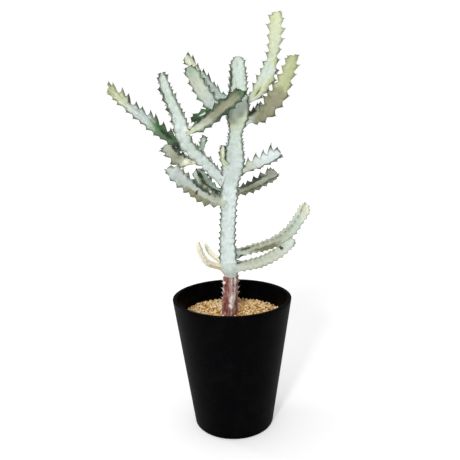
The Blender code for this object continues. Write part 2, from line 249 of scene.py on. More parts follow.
MIDDLE_ARMS = (
    Stem("mid_left_front", "main_stem", 0.354,
         ((23, 219, 11), (20, 221, 14), (20, 217, 25), (20, 215, 32), (18, 214, 38), (53, 215, 37)),
         ((0, 8), (0.15, 9), (0.4, 15), (0.7, 16), (0.94, 15), (1, 9)), 3, 90, 17, (5, 7, 6), 32,
         "stem_white"),
    Stem("mid_left_back", "main_stem", 0.375,
         ((19, 150, 16), (20, 150, 24), (19, 150, 33), (17, 149, 47), (19, 142, 59)),
         ((0, 8), (0.3, 12), (0.6, 16), (0.94, 15), (1, 9)), 3, 60, 16, (5, 5, 5), 32, "stem_white"),
    Stem("left_limb", "main_stem", 0.463,
         ((29, 193, 20), (23, 195, 48), (18, 197, 44), (18, 198, 41), (19, 199, 50), (16, 208, 57),
          (15, 218, 72), (13, 236, 74), (31, 218, 68), (27, 206, 65), (23, 214, 73), (10, 234, 76)),
         ((0, 14), (0.1, 13), (0.25, 13.5), (0.4, 14.5), (0.5, 16.5), (0.6, 17.5), (0.7, 15), (0.8, 13),
          (0.9, 11.5), (0.97, 11), (1, 7)), 4, 34, 18, (7, 5, 6, 5), 38, "stem_white"),
    Stem("mid_right_upper", "main_stem", 0.500,
         ((17, 332, 1), (18, 332, 17), (18, 332, 22), (17, 334, 20), (34, 337, 24)),
         ((0, 9), (0.25, 9), (0.5, 12), (0.8, 13), (0.95, 12), (1, 8)), 3, 5, 17, (11, 5, 6), 38,
         "stem_white"),
    Stem("mid_right_lower", "main_stem", 0.402,
         ((34, 28, 3), (17, 26, 16), (17, 26, 19), (18, 26, 25), (27, 25, 21)),
         ((0, 8), (0.25, 9), (0.55, 14), (0.94, 14), (1, 8)), 3, 330, 16, (6, 4, 5), 34, "stem_white"),
    Stem("small_left", "main_stem", 0.535, ((21, 230, 4), (13, 212, 64), (11, 180, 86), (9, 0, 86)),
         ((0, 6), (0.5, 6.5), (0.9, 7), (1, 5)), 4, 0, 12, (3, 3, 3, 3), 30, "stem_green"),
    Stem("limb_lower", "left_limb", 0.340, ((14, 126, -39), (15, 147, -16), (14, 153, 15), (15, 157, 34),
         (28, 157, 49)),
         ((0, 8), (0.3, 10), (0.55, 15), (0.94, 14), (1, 9)), 3, 90, 16, (5, 8, 5), 28, "stem_white"),
    Stem("limb_shoot", "left_limb", 0.370, ((11, 23, 23), (10, 19, 50), (19, 25, 76)),
         ((0, 6), (0.5, 6), (0.9, 6.5), (1, 4.5)), 3, 0, 11, (3, 3.5, 3), 26, "stem_green"),
    Stem("far_left", "left_limb", 0.430,
         ((17, 159, 19), (21, 161, 30), (22, 164, 35), (40, 167, 38), (38, 174, 38), (18, 176, 44),
          (35, 171, 41)),
         ((0, 9), (0.12, 9.5), (0.3, 12), (0.45, 13.5), (0.62, 12), (0.7, 10.5), (0.8, 11), (0.96, 10.5),
          (1, 7)), 3, 90, 17, (6, 3, 11), 28, "stem_green"),
)

UPPER_ARMS = (
    Stem("right_arm", "main_stem", 0.705,
         ((18, 332, 17), (21, 324, 14), (18, 331, 20), (17, 334, 37), (17, 339, 49), (16, 335, 53),
          (29, 342, 65), (27, 0, 70), (13, 0, 77)),
         ((0, 7.5), (0.2, 8), (0.38, 14), (0.55, 18), (0.68, 16.5), (0.8, 12.5), (0.96, 12.5), (1, 8)),
         3, 30, 17, (6, 7.5, 5), 34, "stem_cream"),
    Stem("right_inner", "main_stem", 0.727, ((22, 34, 12), (13, 31, 29), (32, 29, 38)),
         ((0, 6), (0.4, 7), (0.9, 8.5), (1, 5)), 3, 30, 13, (4, 4, 3), 30, "stem_green"),
    Stem("upper_left", "main_stem", 0.758,
         ((20, 198, 14), (17, 187, 13), (15, 180, 35), (16, 169, 50), (17, 163, 53), (32, 162, 60),
          (15, 155, 62)),
         ((0, 8), (0.2, 8.5), (0.4, 13), (0.6, 15), (0.92, 14), (1, 8)), 3, 90, 17, (4, 5, 5), 30,
         "stem_white"),
    Stem("green_back", "main_stem", 0.775, ((31, 127, 4), (25, 143, 0), (22, 147, -11), (21, 157, -20),
         (19, 159, -27)),
         ((0, 7), (0.5, 9), (0.92, 8.5), (1, 5.5)), 3, 0, 15, (4, 4, 4), 32, "stem_green"),
    Stem("right_tall", "main_stem", 0.797,
         ((17, 337, 24), (14, 343, 17), (14, 344, 42), (15, 354, 53), (15, 8, 60), (16, 10, 69), (15, 13, 73),
          (15, 18, 77), (37, 27, 83), (19, 53, 83), (15, 36, 84)),
         ((0, 8), (0.15, 8), (0.28, 14), (0.4, 16.5), (0.52, 13.5), (0.6, 9.5), (0.68, 11.5), (0.8, 13.5),
          (0.96, 13), (1, 8)), 3, 30, 17, (5, 6, 6), 32, "stem_cream"),
    Stem("upper_left_back", "main_stem", 0.810,
         ((23, 141, 13), (18, 152, 19), (18, 147, 37), (18, 152, 45), (35, 155, 49), (18, 157, 55),
          (18, 161, 48)),
         ((0, 7), (0.2, 7.5), (0.35, 13), (0.5, 14.5), (0.62, 13.5), (0.76, 7.5), (0.85, 10.5), (0.96, 11),
          (1, 7)), 3, 90, 17, (4, 4, 6), 32, "stem_cream"),
    Stem("crossing_arm", "left_limb", 0.585,
         ((17, 339, -10), (19, 338, 15), (19, 338, 30), (18, 345, 34), (38, 350, 38), (16, 351, 38),
          (11, 354, 33)),
         ((0, 7), (0.15, 7), (0.4, 12), (0.6, 14), (0.94, 12.5), (1, 8)), 3, 34, 17, (4, 4, 5), 34,
         "stem_green"),
)

STEMS = (MAIN_STEM, *LOW_ARMS, *MIDDLE_ARMS, *UPPER_ARMS)

# ground: (share of the length, paint). veins: strength of the marbling. margin: paint of the teeth.
# reach: how far the dark margin comes down from the crest. shade: strength of the painted brown shade on the
# underside.
# young: share of the length beyond which the teeth are still pale. The last ground runs on to the tip.
Skin = namedtuple("Skin", "ground veins margin reach shade young", defaults=(1.0,))

SKINS = {
    "main_stem": Skin(((0, "mint"), (0.1, "ice"), (0.4, "ice"), (0.55, "mist"), (0.68, "mint"),
                       (0.73, "lime"), (0.79, "mint")), 0.7, "slate", 0.7, 0.25),
    "low_left_long": Skin(((0, "mint"), (0.2, "straw"), (0.5, "cream")), 0.1, "straw", 0.1, 0.15),
    "low_left_short": Skin(((0, "mint"), (0.2, "cream")), 0.1, "straw", 0.1, 0.1),
    "low_right_back": Skin(((0, "mist"), (0.25, "bone"), (0.6, "bone"), (0.8, "mint"), (1, "cream")), 0.7,
                           "olive", 0.25, 1.3, 0.3),
    "low_right_front": Skin(((0, "mist"), (0.3, "bone"), (0.7, "bone"), (1, "mint")), 0.6, "olive", 0.2, 1.0,
                            0.3),
    "mid_left_front": Skin(((0, "bone"), (0.3, "bone"), (0.6, "mist"), (1, "mist")), 0.5, "olive", 0.4, 1.3),
    "mid_left_back": Skin(((0, "sage"), (0.4, "mist"), (0.7, "sage"), (1, "mint")), 0.9, "pine", 0.8, 0.6),
    "left_limb": Skin(((0, "mist"), (0.25, "ice"), (0.4, "mint"), (0.6, "ice"), (0.8, "mint"), (1, "mint")),
                      0.5, "slate", 0.45, 0.7),
    "mid_right_upper": Skin(((0, "mist"), (0.4, "bone"), (0.7, "ice"), (1, "ice")), 0.3, "slate", 0.6, 0.7),
    "mid_right_lower": Skin(((0, "bone"), (0.4, "khaki"), (0.8, "bone")), 0.5, "slate", 0.5, 1.0),
    "small_left": Skin(((0, "mist"), (0.5, "lime"), (1, "cream")), 0.8, "pine", 0.9, 0.3),
    "limb_lower": Skin(((0, "cream"), (0.35, "bone"), (0.6, "khaki"), (1, "bone")), 0.45, "pine", 0.6, 0.7),
    "limb_shoot": Skin(((0, "mist"), (0.5, "sage"), (1, "mint")), 0.8, "pine", 0.9, 0.3),
    "far_left": Skin(((0, "sage"), (0.12, "ivy"), (0.36, "fern"), (0.44, "sage"), (0.52, "mist"),
                      (0.68, "mist"), (0.8, "lime"), (1, "moss")), 0.8, "slate", 0.8, 0.8, 0.85),
    # right_arm: its khaki and olive stretch, from 0.28 to 0.58 of the length, is painted shade on the
    # underside of its lower half.
    "right_arm": Skin(((0, "mint"), (0.18, "mint"), (0.28, "khaki"), (0.42, "olive"), (0.58, "olive"),
                       (0.7, "moss"), (1, "moss")), 0.35, "umber", 0.35, 0.5, 0.75),
    "right_inner": Skin(((0, "mint"), (0.5, "sage"), (1, "mint")), 0.9, "pine", 0.7, 0.4),
    "upper_left": Skin(((0, "sage"), (0.35, "mist"), (0.7, "bone"), (1, "sage")), 0.6, "pine", 0.6, 0.5),
    "green_back": Skin(((0, "ivy"), (0.5, "ivy"), (0.7, "fern"), (1, "ivy")), 0.8, "pine", 0.9, 0.2),
    "right_tall": Skin(((0, "mint"), (0.25, "lime"), (0.45, "mint"), (0.6, "lime"), (0.75, "lime"),
                        (1, "lemon")), 0.35, "slate", 0.4, 0.35, 0.62),
    "upper_left_back": Skin(((0, "mint"), (0.4, "mist"), (0.68, "mint"), (0.76, "cream"), (1, "lime")),
                            0.5, "pine", 0.6, 0.5),
    "crossing_arm": Skin(((0, "cream"), (0.18, "lime"), (0.32, "bone"), (0.55, "khaki"), (0.8, "khaki"),
                          (1, "olive")), 0.7, "pine", 1.6, 0.6),
}

# Coloured places on a stem: paint, share of the length, angle round it, length in mm, width in degrees. Some
# of them are painted shade, as said at their stems.
Mark = namedtuple("Mark", "paint share around long wide")

# Clumps of dry flowers on a stem: paint, share of the length, angle round it, how many.
Flower = namedtuple("Flower", "paint share around count")

FLOWERS = {
    "right_tall": (Flower("umber", 0.46, 150, 9), Flower("umber", 0.24, 150, 5)),
    "mid_left_back": (Flower("umber", 0.60, 300, 7), Flower("umber", 0.86, 300, 4)),
    "limb_lower": (Flower("cream", 0.40, 210, 5), Flower("slate", 0.50, 330, 5)),
}

MARKS = {
    "rootstock": (Mark("chalk", 0.95, 322, 14, 24), Mark("chalk", 0.83, 318, 12, 26),
                  Mark("chalk", 0.72, 298, 14, 44), Mark("chalk", 0.62, 288, 8, 34),
                  Mark("rose", 0.92, 272, 22, 26), Mark("rose", 0.76, 262, 9, 16),
                  Mark("rose", 0.55, 310, 12, 30), Mark("chalk", 0.88, 150, 9, 26),
                  Mark("chalk", 0.92, 192, 5, 18), Mark("chalk", 0.82, 188, 5, 16)),
    "far_left": (Mark("pine", 0.26, 280, 18, 50), Mark("pine", 0.12, 220, 14, 50),
                 Mark("ivy", 0.36, 330, 16, 50), Mark("umber", 0.76, 330, 5, 30),
                 Mark("ivy", 0.30, 90, 30, 60), Mark("umber", 0.56, 208, 34, 9)),
    # left_limb: the khaki mark at 180 degrees is painted shade on the underside near its foot, and the two
    # sage marks at 306 and 308 degrees are painted shade along its upper rib.
    "left_limb": (Mark("slate", 0.88, 214, 20, 15), Mark("slate", 0.76, 214, 18, 13),
                  Mark("khaki", 0.10, 180, 24, 40), Mark("sage", 0.48, 308, 46, 17),
                  Mark("sage", 0.76, 306, 40, 16)),
    "limb_lower": (Mark("cream", 0.36, 270, 8, 50), Mark("pine", 0.58, 336, 30, 32),
                   Mark("slate", 0.8, 320, 12, 24)),
    "crossing_arm": (Mark("pine", 0.42, 32, 24, 18), Mark("pine", 0.66, 152, 26, 20),
                     Mark("fern", 0.97, 90, 5, 70), Mark("pine", 0.78, 32, 16, 20)),
    "upper_left": (Mark("pine", 0.24, 270, 9, 60),),
    "upper_left_back": (Mark("pine", 0.74, 270, 5, 40), Mark("pine", 0.45, 210, 16, 24)),
    "mid_left_back": (Mark("pine", 0.30, 300, 14, 50), Mark("umber", 0.66, 285, 7, 40),
                      Mark("pine", 0.84, 330, 12, 50), Mark("chalk", 0.42, 250, 5, 26)),
    # mid_left_front: the khaki mark at 215 degrees is painted shade on its underside.
    "mid_left_front": (Mark("umber", 0.55, 262, 3, 40), Mark("khaki", 0.5, 215, 50, 42),
                       Mark("slate", 0.52, 326, 50, 20), Mark("bone", 0.5, 262, 60, 24)),
    # mid_right_lower: the khaki mark at 130 degrees is painted shade on its underside.
    "mid_right_lower": (Mark("khaki", 0.6, 130, 50, 60), Mark("slate", 0.5, 352, 40, 24)),
    "right_tall": (Mark("umber", 0.24, 96, 9, 16), Mark("moss", 0.24, 90, 14, 40),
                   Mark("moss", 0.34, 150, 18, 40), Mark("moss", 0.56, 150, 12, 30)),
    # right_arm: the wide khaki mark at 100 degrees is painted shade on its lower half, on the face turned to
    # the front.
    "right_arm": (Mark("khaki", 0.50, 100, 34, 80), Mark("umber", 0.62, 330, 5, 30)),
    "right_inner": (Mark("pine", 0.55, 60, 14, 30),),
    "green_back": (Mark("ice", 0.35, 250, 12, 40), Mark("ice", 0.75, 270, 12, 36)),
    "small_left": (Mark("pine", 0.6, 270, 8, 30),),
    # low_right_front: the khaki mark at 160 degrees is painted shade on its underside.
    "low_right_front": (Mark("pine", 0.82, 60, 4, 26), Mark("khaki", 0.45, 160, 40, 40),
                        Mark("slate", 0.15, 48, 12, 15)),
    # low_right_back: the olive mark at 108 degrees is painted shade along its underside.
    "low_right_back": (Mark("olive", 0.38, 108, 36, 36), Mark("slate", 0.18, 50, 16, 16),
                       Mark("slate", 0.12, 130, 9, 20)),
    "main_stem": (Mark("sage", 0.77, 228, 26, 22), Mark("pine", 0.845, 304, 5, 15),
                  Mark("slate", 0.9, 226, 30, 12)),
}


def display(red, green, blue):
    """Linear colour of a display colour given in steps of 0 to 255."""
    return tuple((level / 255) ** 2.2 for level in (red, green, blue))


def paint_property(title, use, red, green, blue):
    return FloatVectorProperty(
        name=title, description=use, default=display(red, green, blue), subtype="COLOR", size=3, min=0, max=1
    )


class EuphorbiaPaints(PropertyGroup):
    """Colours of the stems and the stock."""

    ice: paint_property("Ice", "Bluish white of the clean skin", 226, 238, 236)
    mist: paint_property("Mist", "Cool light grey of the older skin", 206, 217, 214)
    mint: paint_property("Mint", "Faint green white of the younger skin", 214, 229, 218)
    bone: paint_property("Bone", "Warm white of the weathered skin", 206, 212, 192)
    sage: paint_property("Sage", "Grey green of the marbled skin", 168, 186, 164)
    fern: paint_property("Fern", "Mid green of the skin that kept its green", 84, 122, 82)
    ivy: paint_property("Ivy", "Deep green of the skin that kept its green", 50, 96, 48)
    pine: paint_property("Pine", "Near-black green of teeth and patches", 30, 54, 32)
    slate: paint_property("Slate", "Dark grey green of the teeth", 62, 74, 64)
    umber: paint_property("Umber", "Dark brown of scars and dry teeth", 82, 66, 48)
    moss: paint_property("Moss", "Yellow green of the young cream stems", 190, 196, 146)
    # Olive is also painted shade: on the underside band of low_right_back and on the lower half of right_arm.
    olive: paint_property("Olive", "Brown green of the older cream stems", 122, 124, 90)
    # Khaki is also the painted shade that the skins lay on their undersides.
    khaki: paint_property("Khaki", "Beige brown of shaded and corky skin", 148, 147, 120)
    lime: paint_property("Lime", "Pale yellow green of the young skin", 218, 226, 194)
    lemon: paint_property("Lemon", "Pale yellow of the newest tips", 224, 231, 182)
    straw: paint_property("Straw", "Pale buff of the low shoots", 248, 236, 196)
    cream: paint_property("Cream", "Yellow white of the youngest skin", 252, 248, 222)
    bark: paint_property("Bark", "Red brown of the stock", 132, 64, 58)
    rose: paint_property("Rose", "Paler pink brown of the stock's ribs", 186, 148, 142)
    chalk: paint_property("Chalk", "White of scraped and healed places", 250, 249, 244)


class EuphorbiaTeeth(PropertyGroup):
    """Sizes of the teeth and their spines."""

    size: FloatProperty(name="Tooth size", description="Height of all teeth against their own size",
                        default=1.0, min=0.2, max=2.0, subtype="FACTOR")
    spine_length: FloatProperty(name="Spine length", description="Length of the paired spines",
                                default=0.0032, min=0.0, max=0.01, subtype="DISTANCE", unit="LENGTH")
    spine_radius: FloatProperty(name="Spine radius", description="Radius of a spine at its foot",
                                default=0.0006, min=0.0001, max=0.002, subtype="DISTANCE", unit="LENGTH")


class EuphorbiaPot(PropertyGroup):
    """Finish and fineness of the pot."""

    plastic: paint_property("Plastic", "Colour of the moulded plastic", 2, 3, 8)
    dust: paint_property("Dust", "Colour of the dust and dried splashes", 120, 112, 98)
    roughness: FloatProperty(name="Roughness", description="How matte the plastic is",
                             default=0.46, min=0.05, max=1.0, subtype="FACTOR")
    rounds: IntProperty(name="Steps round", description="Faces round the pot", default=192, min=48, max=512)


class EuphorbiaFill(PropertyGroup):
    """Sizes and colours of the soil and the granules."""

    smallest: FloatProperty(name="Smallest granule", description="Radius of the smallest granule",
                            default=0.0019, min=0.0008, max=0.01, subtype="DISTANCE", unit="LENGTH")
    largest: FloatProperty(name="Largest granule", description="Radius of the largest granule",
                           default=0.0036, min=0.001, max=0.01, subtype="DISTANCE", unit="LENGTH")
    count: IntProperty(name="Granules", description="Most granules to lay", default=3600, min=100, max=8000)
    amber: paint_property("Amber", "Colour of most granules", 248, 208, 144)
    honey: paint_property("Honey", "Deeper colour among them", 212, 160, 92)
    biscuit: paint_property("Biscuit", "Lighter colour among them", 252, 232, 184)
    oyster: paint_property("Oyster", "Palest granules", 250, 242, 222)
    cocoa: paint_property("Cocoa", "Darkest granules", 134, 96, 56)
    soil: paint_property("Soil", "Colour of the potting soil", 62, 44, 30)


class EuphorbiaStage(PropertyGroup):
    """Light and floor round the plant."""

    key_power: FloatProperty(name="Key light", description="Power of the soft light at the front left",
                             default=43.0, min=0.0, max=200.0, unit="POWER")
    sheen_power: FloatProperty(name="Sheen light", description="Power of the tall light behind the left side",
                               default=3.0, min=0.0, max=100.0, unit="POWER")
    sky: FloatProperty(name="Sky", description="Strength of the light from all round",
                       default=0.69, min=0.0, max=5.0)
    floor: paint_property("Floor", "Colour of the floor", 246, 246, 246)


def paint(name):
    """One of the plant's paints as a colour with alpha."""
    return (*getattr(bpy.context.scene.euphorbia_paints, name), 1.0)


def fill_colour(name):
    return (*getattr(bpy.context.scene.euphorbia_fill, name), 1.0)


# Shader nodes


def node(tree, kind, feeds=None, **settings):
    """A new node: its settings, then its sockets, each set to a value or linked from another socket."""
    made = tree.nodes.new(kind)
    for setting, value in settings.items():
        setattr(made, setting, value)
    for socket, value in (feeds or {}).items():
        if isinstance(value, bpy.types.NodeSocket):
            tree.links.new(value, made.inputs[socket])
        else:
            made.inputs[socket].default_value = value
    return made


def maths(tree, operation, first, second):
    return node(tree, "ShaderNodeMath", {0: first, 1: second}, operation=operation).outputs[0]


def times(tree, first, second):
    return maths(tree, "MULTIPLY", first, second)


def plus(tree, first, second):
    return maths(tree, "ADD", first, second)


def minus(tree, first, second):
    return maths(tree, "SUBTRACT", first, second)


def eased(tree, value, low, high):
    """0 up to low and 1 from high, eased between them."""
    feeds = {"Value": value, "From Min": low, "From Max": high}
    return node(tree, "ShaderNodeMapRange", feeds, interpolation_type="SMOOTHSTEP").outputs[0]


def ranged(tree, value, low, high):
    """A value of 0 to 1 brought between low and high."""
    return node(tree, "ShaderNodeMapRange", {"Value": value, "To Min": low, "To Max": high}).outputs[0]


def mixed(tree, factor, under, over, how="MIX"):
    feeds = {0: factor, 6: under, 7: over}
    return node(tree, "ShaderNodeMix", feeds, data_type="RGBA", blend_type=how).outputs[2]


def speckle(tree, vector, scale, detail=3.0, roughness=0.55, distortion=0.0):
    feeds = {"Vector": vector, "Scale": scale, "Detail": detail, "Roughness": roughness,
             "Distortion": distortion}
    return node(tree, "ShaderNodeTexNoise", feeds).outputs[0]


def stretched(tree, vector, x, y, z):
    return node(tree, "ShaderNodeVectorMath", {0: vector, 1: (x, y, z)}, operation="MULTIPLY").outputs[0]


def ramp(tree, factor, stops):
    """Colours along a value, from (place, colour) stops."""
    made = node(tree, "ShaderNodeValToRGB", {0: factor})
    elements = made.color_ramp.elements
    while len(elements) < len(stops):
        elements.new(1.0)
    for element, (place, colour) in zip(elements, stops):
        element.position = place
        element.color = colour
    return made.outputs[0]


def shared_group(name, takes, gives):
    """An empty group with named sockets, with what its inputs give and its outputs take."""
    group = bpy.data.node_groups.new(name, "ShaderNodeTree")
    for label, kind, default in takes:
        socket = group.interface.new_socket(name=label, in_out="INPUT", socket_type=kind)
        if default is not None:
            socket.default_value = default
    for label, kind in gives:
        group.interface.new_socket(name=label, in_out="OUTPUT", socket_type=kind)
    return group, group.nodes.new("NodeGroupInput").outputs, group.nodes.new("NodeGroupOutput").inputs


def give(group, outputs, label, value):
    group.links.new(value, outputs[label])


def ghost_marbling():
    """Slanting grey green veins and soft clouds, strongest near the ribs."""
    group, takes, gives = shared_group("ghost_marbling", (
        ("Grown", "NodeSocketVector", None),
        ("Skin", "NodeSocketColor", None),
        ("Vein", "NodeSocketColor", None),
        ("Crest", "NodeSocketFloat", 0.0),
        ("Amount", "NodeSocketFloat", 0.5),
    ), (("Colour", "NodeSocketColor"),))
    slant = times(group, takes["Crest"], -0.012)
    rise = node(group, "ShaderNodeCombineXYZ", {2: slant}).outputs[0]
    sheared = node(group, "ShaderNodeVectorMath", {0: takes["Grown"], 1: rise}, operation="ADD").outputs[0]
    long = stretched(group, sheared, 1.0, 1.0, 0.45)
    veins = eased(group, speckle(group, long, 210, 4.0, 0.6, 0.6), 0.46, 0.66)
    near_rib = ranged(group, takes["Crest"], 0.40, 1.0)
    strength = times(group, times(group, veins, near_rib), takes["Amount"])
    veined = mixed(group, strength, takes["Skin"], takes["Vein"])
    clouds = ranged(group, speckle(group, takes["Grown"], 90, 4.0, 0.6), 0.78, 1.10)
    fine = ranged(group, speckle(group, takes["Grown"], 900, 2.0), 0.94, 1.05)
    shown = veined
    for level in (clouds, fine):
        grey = node(group, "ShaderNodeCombineColor", {0: level, 1: level, 2: level}).outputs[0]
        shown = mixed(group, 1.0, shown, grey, "MULTIPLY")
    give(group, gives, "Colour", shown)
    return group


def toothed_margin():
    """Where the skin is dark: the teeth, and broken stretches of the crest between them."""
    group, takes, gives = shared_group("toothed_margin", (
        ("Grown", "NodeSocketVector", None),
        ("Crest", "NodeSocketFloat", 0.0),
        ("Tooth", "NodeSocketFloat", 0.0),
        ("Reach", "NodeSocketFloat", 0.4),
    ), (("Mask", "NodeSocketFloat"), ("Halo", "NodeSocketFloat")))
    ragged = minus(group, speckle(group, takes["Grown"], 420, 3.0), 0.5)
    edge = plus(group, takes["Crest"], times(group, ragged, 0.22))
    start = minus(group, 1.0, times(group, takes["Reach"], 0.30))
    band = eased(group, edge, start, 1.02)
    stretches = ranged(group, eased(group, speckle(group, takes["Grown"], 95, 2.0), 0.34, 0.52), 0.3, 0.9)
    crest = times(group, band, stretches)
    point = plus(group, takes["Tooth"], times(group, ragged, 0.45))
    give(group, gives, "Mask", maths(group, "MAXIMUM", crest, eased(group, point, 0.34, 0.78)))
    give(group, gives, "Halo", maths(group, "MAXIMUM", crest, eased(group, point, 0.08, 0.5)))
    return group


def ragged_mark():
    """A soft weight turned into a patch with a broken edge."""
    group, takes, gives = shared_group("ragged_mark", (
        ("Grown", "NodeSocketVector", None),
        ("Weight", "NodeSocketFloat", 0.0),
        ("Size", "NodeSocketFloat", 240.0),
    ), (("Mask", "NodeSocketFloat"),))
    broken = speckle(group, stretched(group, takes["Grown"], 1.0, 1.0, 0.6), takes["Size"], 4.0, 0.65)
    spread = times(group, minus(group, broken, 0.5), 1.5)
    give(group, gives, "Mask", eased(group, plus(group, takes["Weight"], spread), 0.25, 0.8))
    return group


def waxy_grain():
    """Fine pores and long wrinkles of the skin, as a height and a roughness."""
    group, takes, gives = shared_group("waxy_grain", (
        ("Grown", "NodeSocketVector", None),
        ("Roughness", "NodeSocketFloat", 0.5),
        ("Wrinkle", "NodeSocketFloat", 0.5),
    ), (("Height", "NodeSocketFloat"), ("Roughness", "NodeSocketFloat")))
    pores = speckle(group, takes["Grown"], 1400, 2.0)
    wrinkles = speckle(group, stretched(group, takes["Grown"], 1.0, 1.0, 0.25), 320, 4.0, 0.6)
    lumps = speckle(group, takes["Grown"], 120, 2.0)
    fine = times(group, pores, 0.25)
    folds = times(group, wrinkles, takes["Wrinkle"])
    give(group, gives, "Height", plus(group, plus(group, fine, folds), lumps))
    uneven = times(group, minus(group, lumps, 0.5), 0.3)
    give(group, gives, "Roughness", plus(group, takes["Roughness"], uneven))
    return group


def settled_dust():
    """Specks and thin films of dust, more on what faces up."""
    group, takes, gives = shared_group("settled_dust", (
        ("Place", "NodeSocketVector", None),
        ("Amount", "NodeSocketFloat", 0.5),
        ("Speck size", "NodeSocketFloat", 500.0),
    ), (("Mask", "NodeSocketFloat"),))
    normal = node(group, "ShaderNodeNewGeometry").outputs["Normal"]
    up = eased(group, node(group, "ShaderNodeSeparateXYZ", {0: normal}).outputs[2], 0.2, 0.95)
    specks = eased(group, speckle(group, takes["Place"], takes["Speck size"], 1.0), 0.69, 0.76)
    film = eased(group, speckle(group, takes["Place"], 28, 5.0, 0.6), 0.45, 0.75)
    thin = times(group, film, ranged(group, up, 0.16, 0.6))
    both = maths(group, "MAXIMUM", specks, thin)
    give(group, gives, "Mask", times(group, both, takes["Amount"]))
    return group


def placed(tree, build, feeds):
    """A shared group placed in a material, built the first time that it is asked for."""
    group = bpy.data.node_groups.get(build.__name__) or build()
    return node(tree, "ShaderNodeGroup", feeds, node_tree=group).outputs


def new_material(name):
    """A material, its tree and its shader."""
    made = bpy.data.materials.new(name)
    made.use_nodes = True
    return made, made.node_tree, made.node_tree.nodes["Principled BSDF"]


def read(tree, attribute, output="Fac"):
    return node(tree, "ShaderNodeAttribute", attribute_name=attribute).outputs[output]


def finish_shader(tree, shader, colour, roughness, height, distance):
    """Gives a shader its colour, its roughness and a fine relief."""
    tree.links.new(colour, shader.inputs["Base Color"])
    tree.links.new(roughness, shader.inputs["Roughness"])
    bump = node(tree, "ShaderNodeBump", {"Height": height, "Distance": distance, "Strength": 1.0})
    tree.links.new(bump.outputs[0], shader.inputs["Normal"])


def darker(colour, share):
    """A colour with less light in it, and full alpha."""
    return tuple(level * share for level in colour[:3]) + (1.0,)


def marked(tree, colour, grown, stem_name):
    """The stem's coloured places laid over its colour."""
    for name in sorted({mark.paint for mark in MARKS.get(stem_name, ())}):
        feeds = {"Grown": grown, "Weight": read(tree, f"mark_{name}")}
        colour = mixed(tree, placed(tree, ragged_mark, feeds)["Mask"], colour, paint(name))
    return colour


def skin_material(stem):
    """Marbled waxy skin: ground colours up the stem, painted brown shade on the underside, marks, veins and
    dark teeth.
    """
    skin = SKINS[stem.name]
    made, tree, shader = new_material(f"{stem.name}_skin")
    grown = read(tree, "grown", "Vector")
    along, crest, under = read(tree, "along"), read(tree, "crest"), read(tree, "under")
    drift = times(tree, minus(tree, speckle(tree, grown, 60, 2.0), 0.5), 0.22)
    stops = [(place, paint(name)) for place, name in skin.ground]
    ground = ramp(tree, plus(tree, along, drift), stops)
    # Painted shade: where the skin faces down it is mixed towards khaki brown, by the skin's shade strength.
    shaded = eased(tree, plus(tree, under, drift), 0.25, 1.0)
    underside_shaded = mixed(tree, times(tree, shaded, 0.62 * skin.shade), ground, paint("khaki"))
    veined = placed(tree, ghost_marbling, {
        "Grown": grown, "Skin": underside_shaded, "Vein": paint("fern" if skin.veins > 0.7 else "sage"),
        "Crest": crest, "Amount": skin.veins,
    })["Colour"]
    coloured = marked(tree, veined, grown, stem.name)
    margin = placed(tree, toothed_margin, {
        "Grown": grown, "Crest": crest, "Tooth": read(tree, "tooth"), "Reach": skin.reach,
    })
    strong, soft = margin["Mask"], times(tree, margin["Halo"], 0.45 * min(1.0, skin.reach * 3))
    if skin.young < 1:
        older = ranged(tree, eased(tree, along, skin.young - 0.12, skin.young + 0.1), 1.0, 0.3)
        strong = times(tree, strong, older)
    haloed = mixed(tree, soft, coloured, paint("fern" if skin.margin == "pine" else "olive"))
    toothed = mixed(tree, strong, haloed, paint(skin.margin))
    grain = placed(tree, waxy_grain, {"Grown": grown, "Roughness": 0.52, "Wrinkle": 0.5})
    finish_shader(tree, shader, toothed, grain["Roughness"], grain["Height"], 0.0009)
    return made


def bark_material():
    """Red brown bark with paler ribs, white scraped places and pale tooth marks."""
    made, tree, shader = new_material("rootstock_bark")
    grown, crest = read(tree, "grown", "Vector"), read(tree, "crest")
    streaks = speckle(tree, stretched(tree, grown, 1.0, 1.0, 0.3), 260, 5.0, 0.65)
    furrow, rib = darker(paint("bark"), 0.42), paint("rose")
    bark = ramp(tree, streaks, ((0.34, furrow), (0.5, paint("bark")), (0.66, rib)))
    ribbed = mixed(tree, times(tree, eased(tree, crest, 0.5, 1.0), 0.45), bark, paint("rose"))
    scraped = marked(tree, ribbed, grown, "rootstock")
    teeth = placed(tree, toothed_margin, {
        "Grown": grown, "Crest": crest, "Tooth": read(tree, "tooth"), "Reach": 0.12,
    })["Mask"]
    toothed = mixed(tree, teeth, scraped, mixed(tree, 0.35, paint("chalk"), paint("rose")))
    dust = placed(tree, settled_dust, {"Place": grown, "Amount": 0.35, "Speck size": 600.0})["Mask"]
    dusted = mixed(tree, dust, toothed, paint("straw"))
    grain = placed(tree, waxy_grain, {"Grown": grown, "Roughness": 0.72, "Wrinkle": 1.6})
    finish_shader(tree, shader, dusted, grain["Roughness"], grain["Height"], 0.0014)
    return made


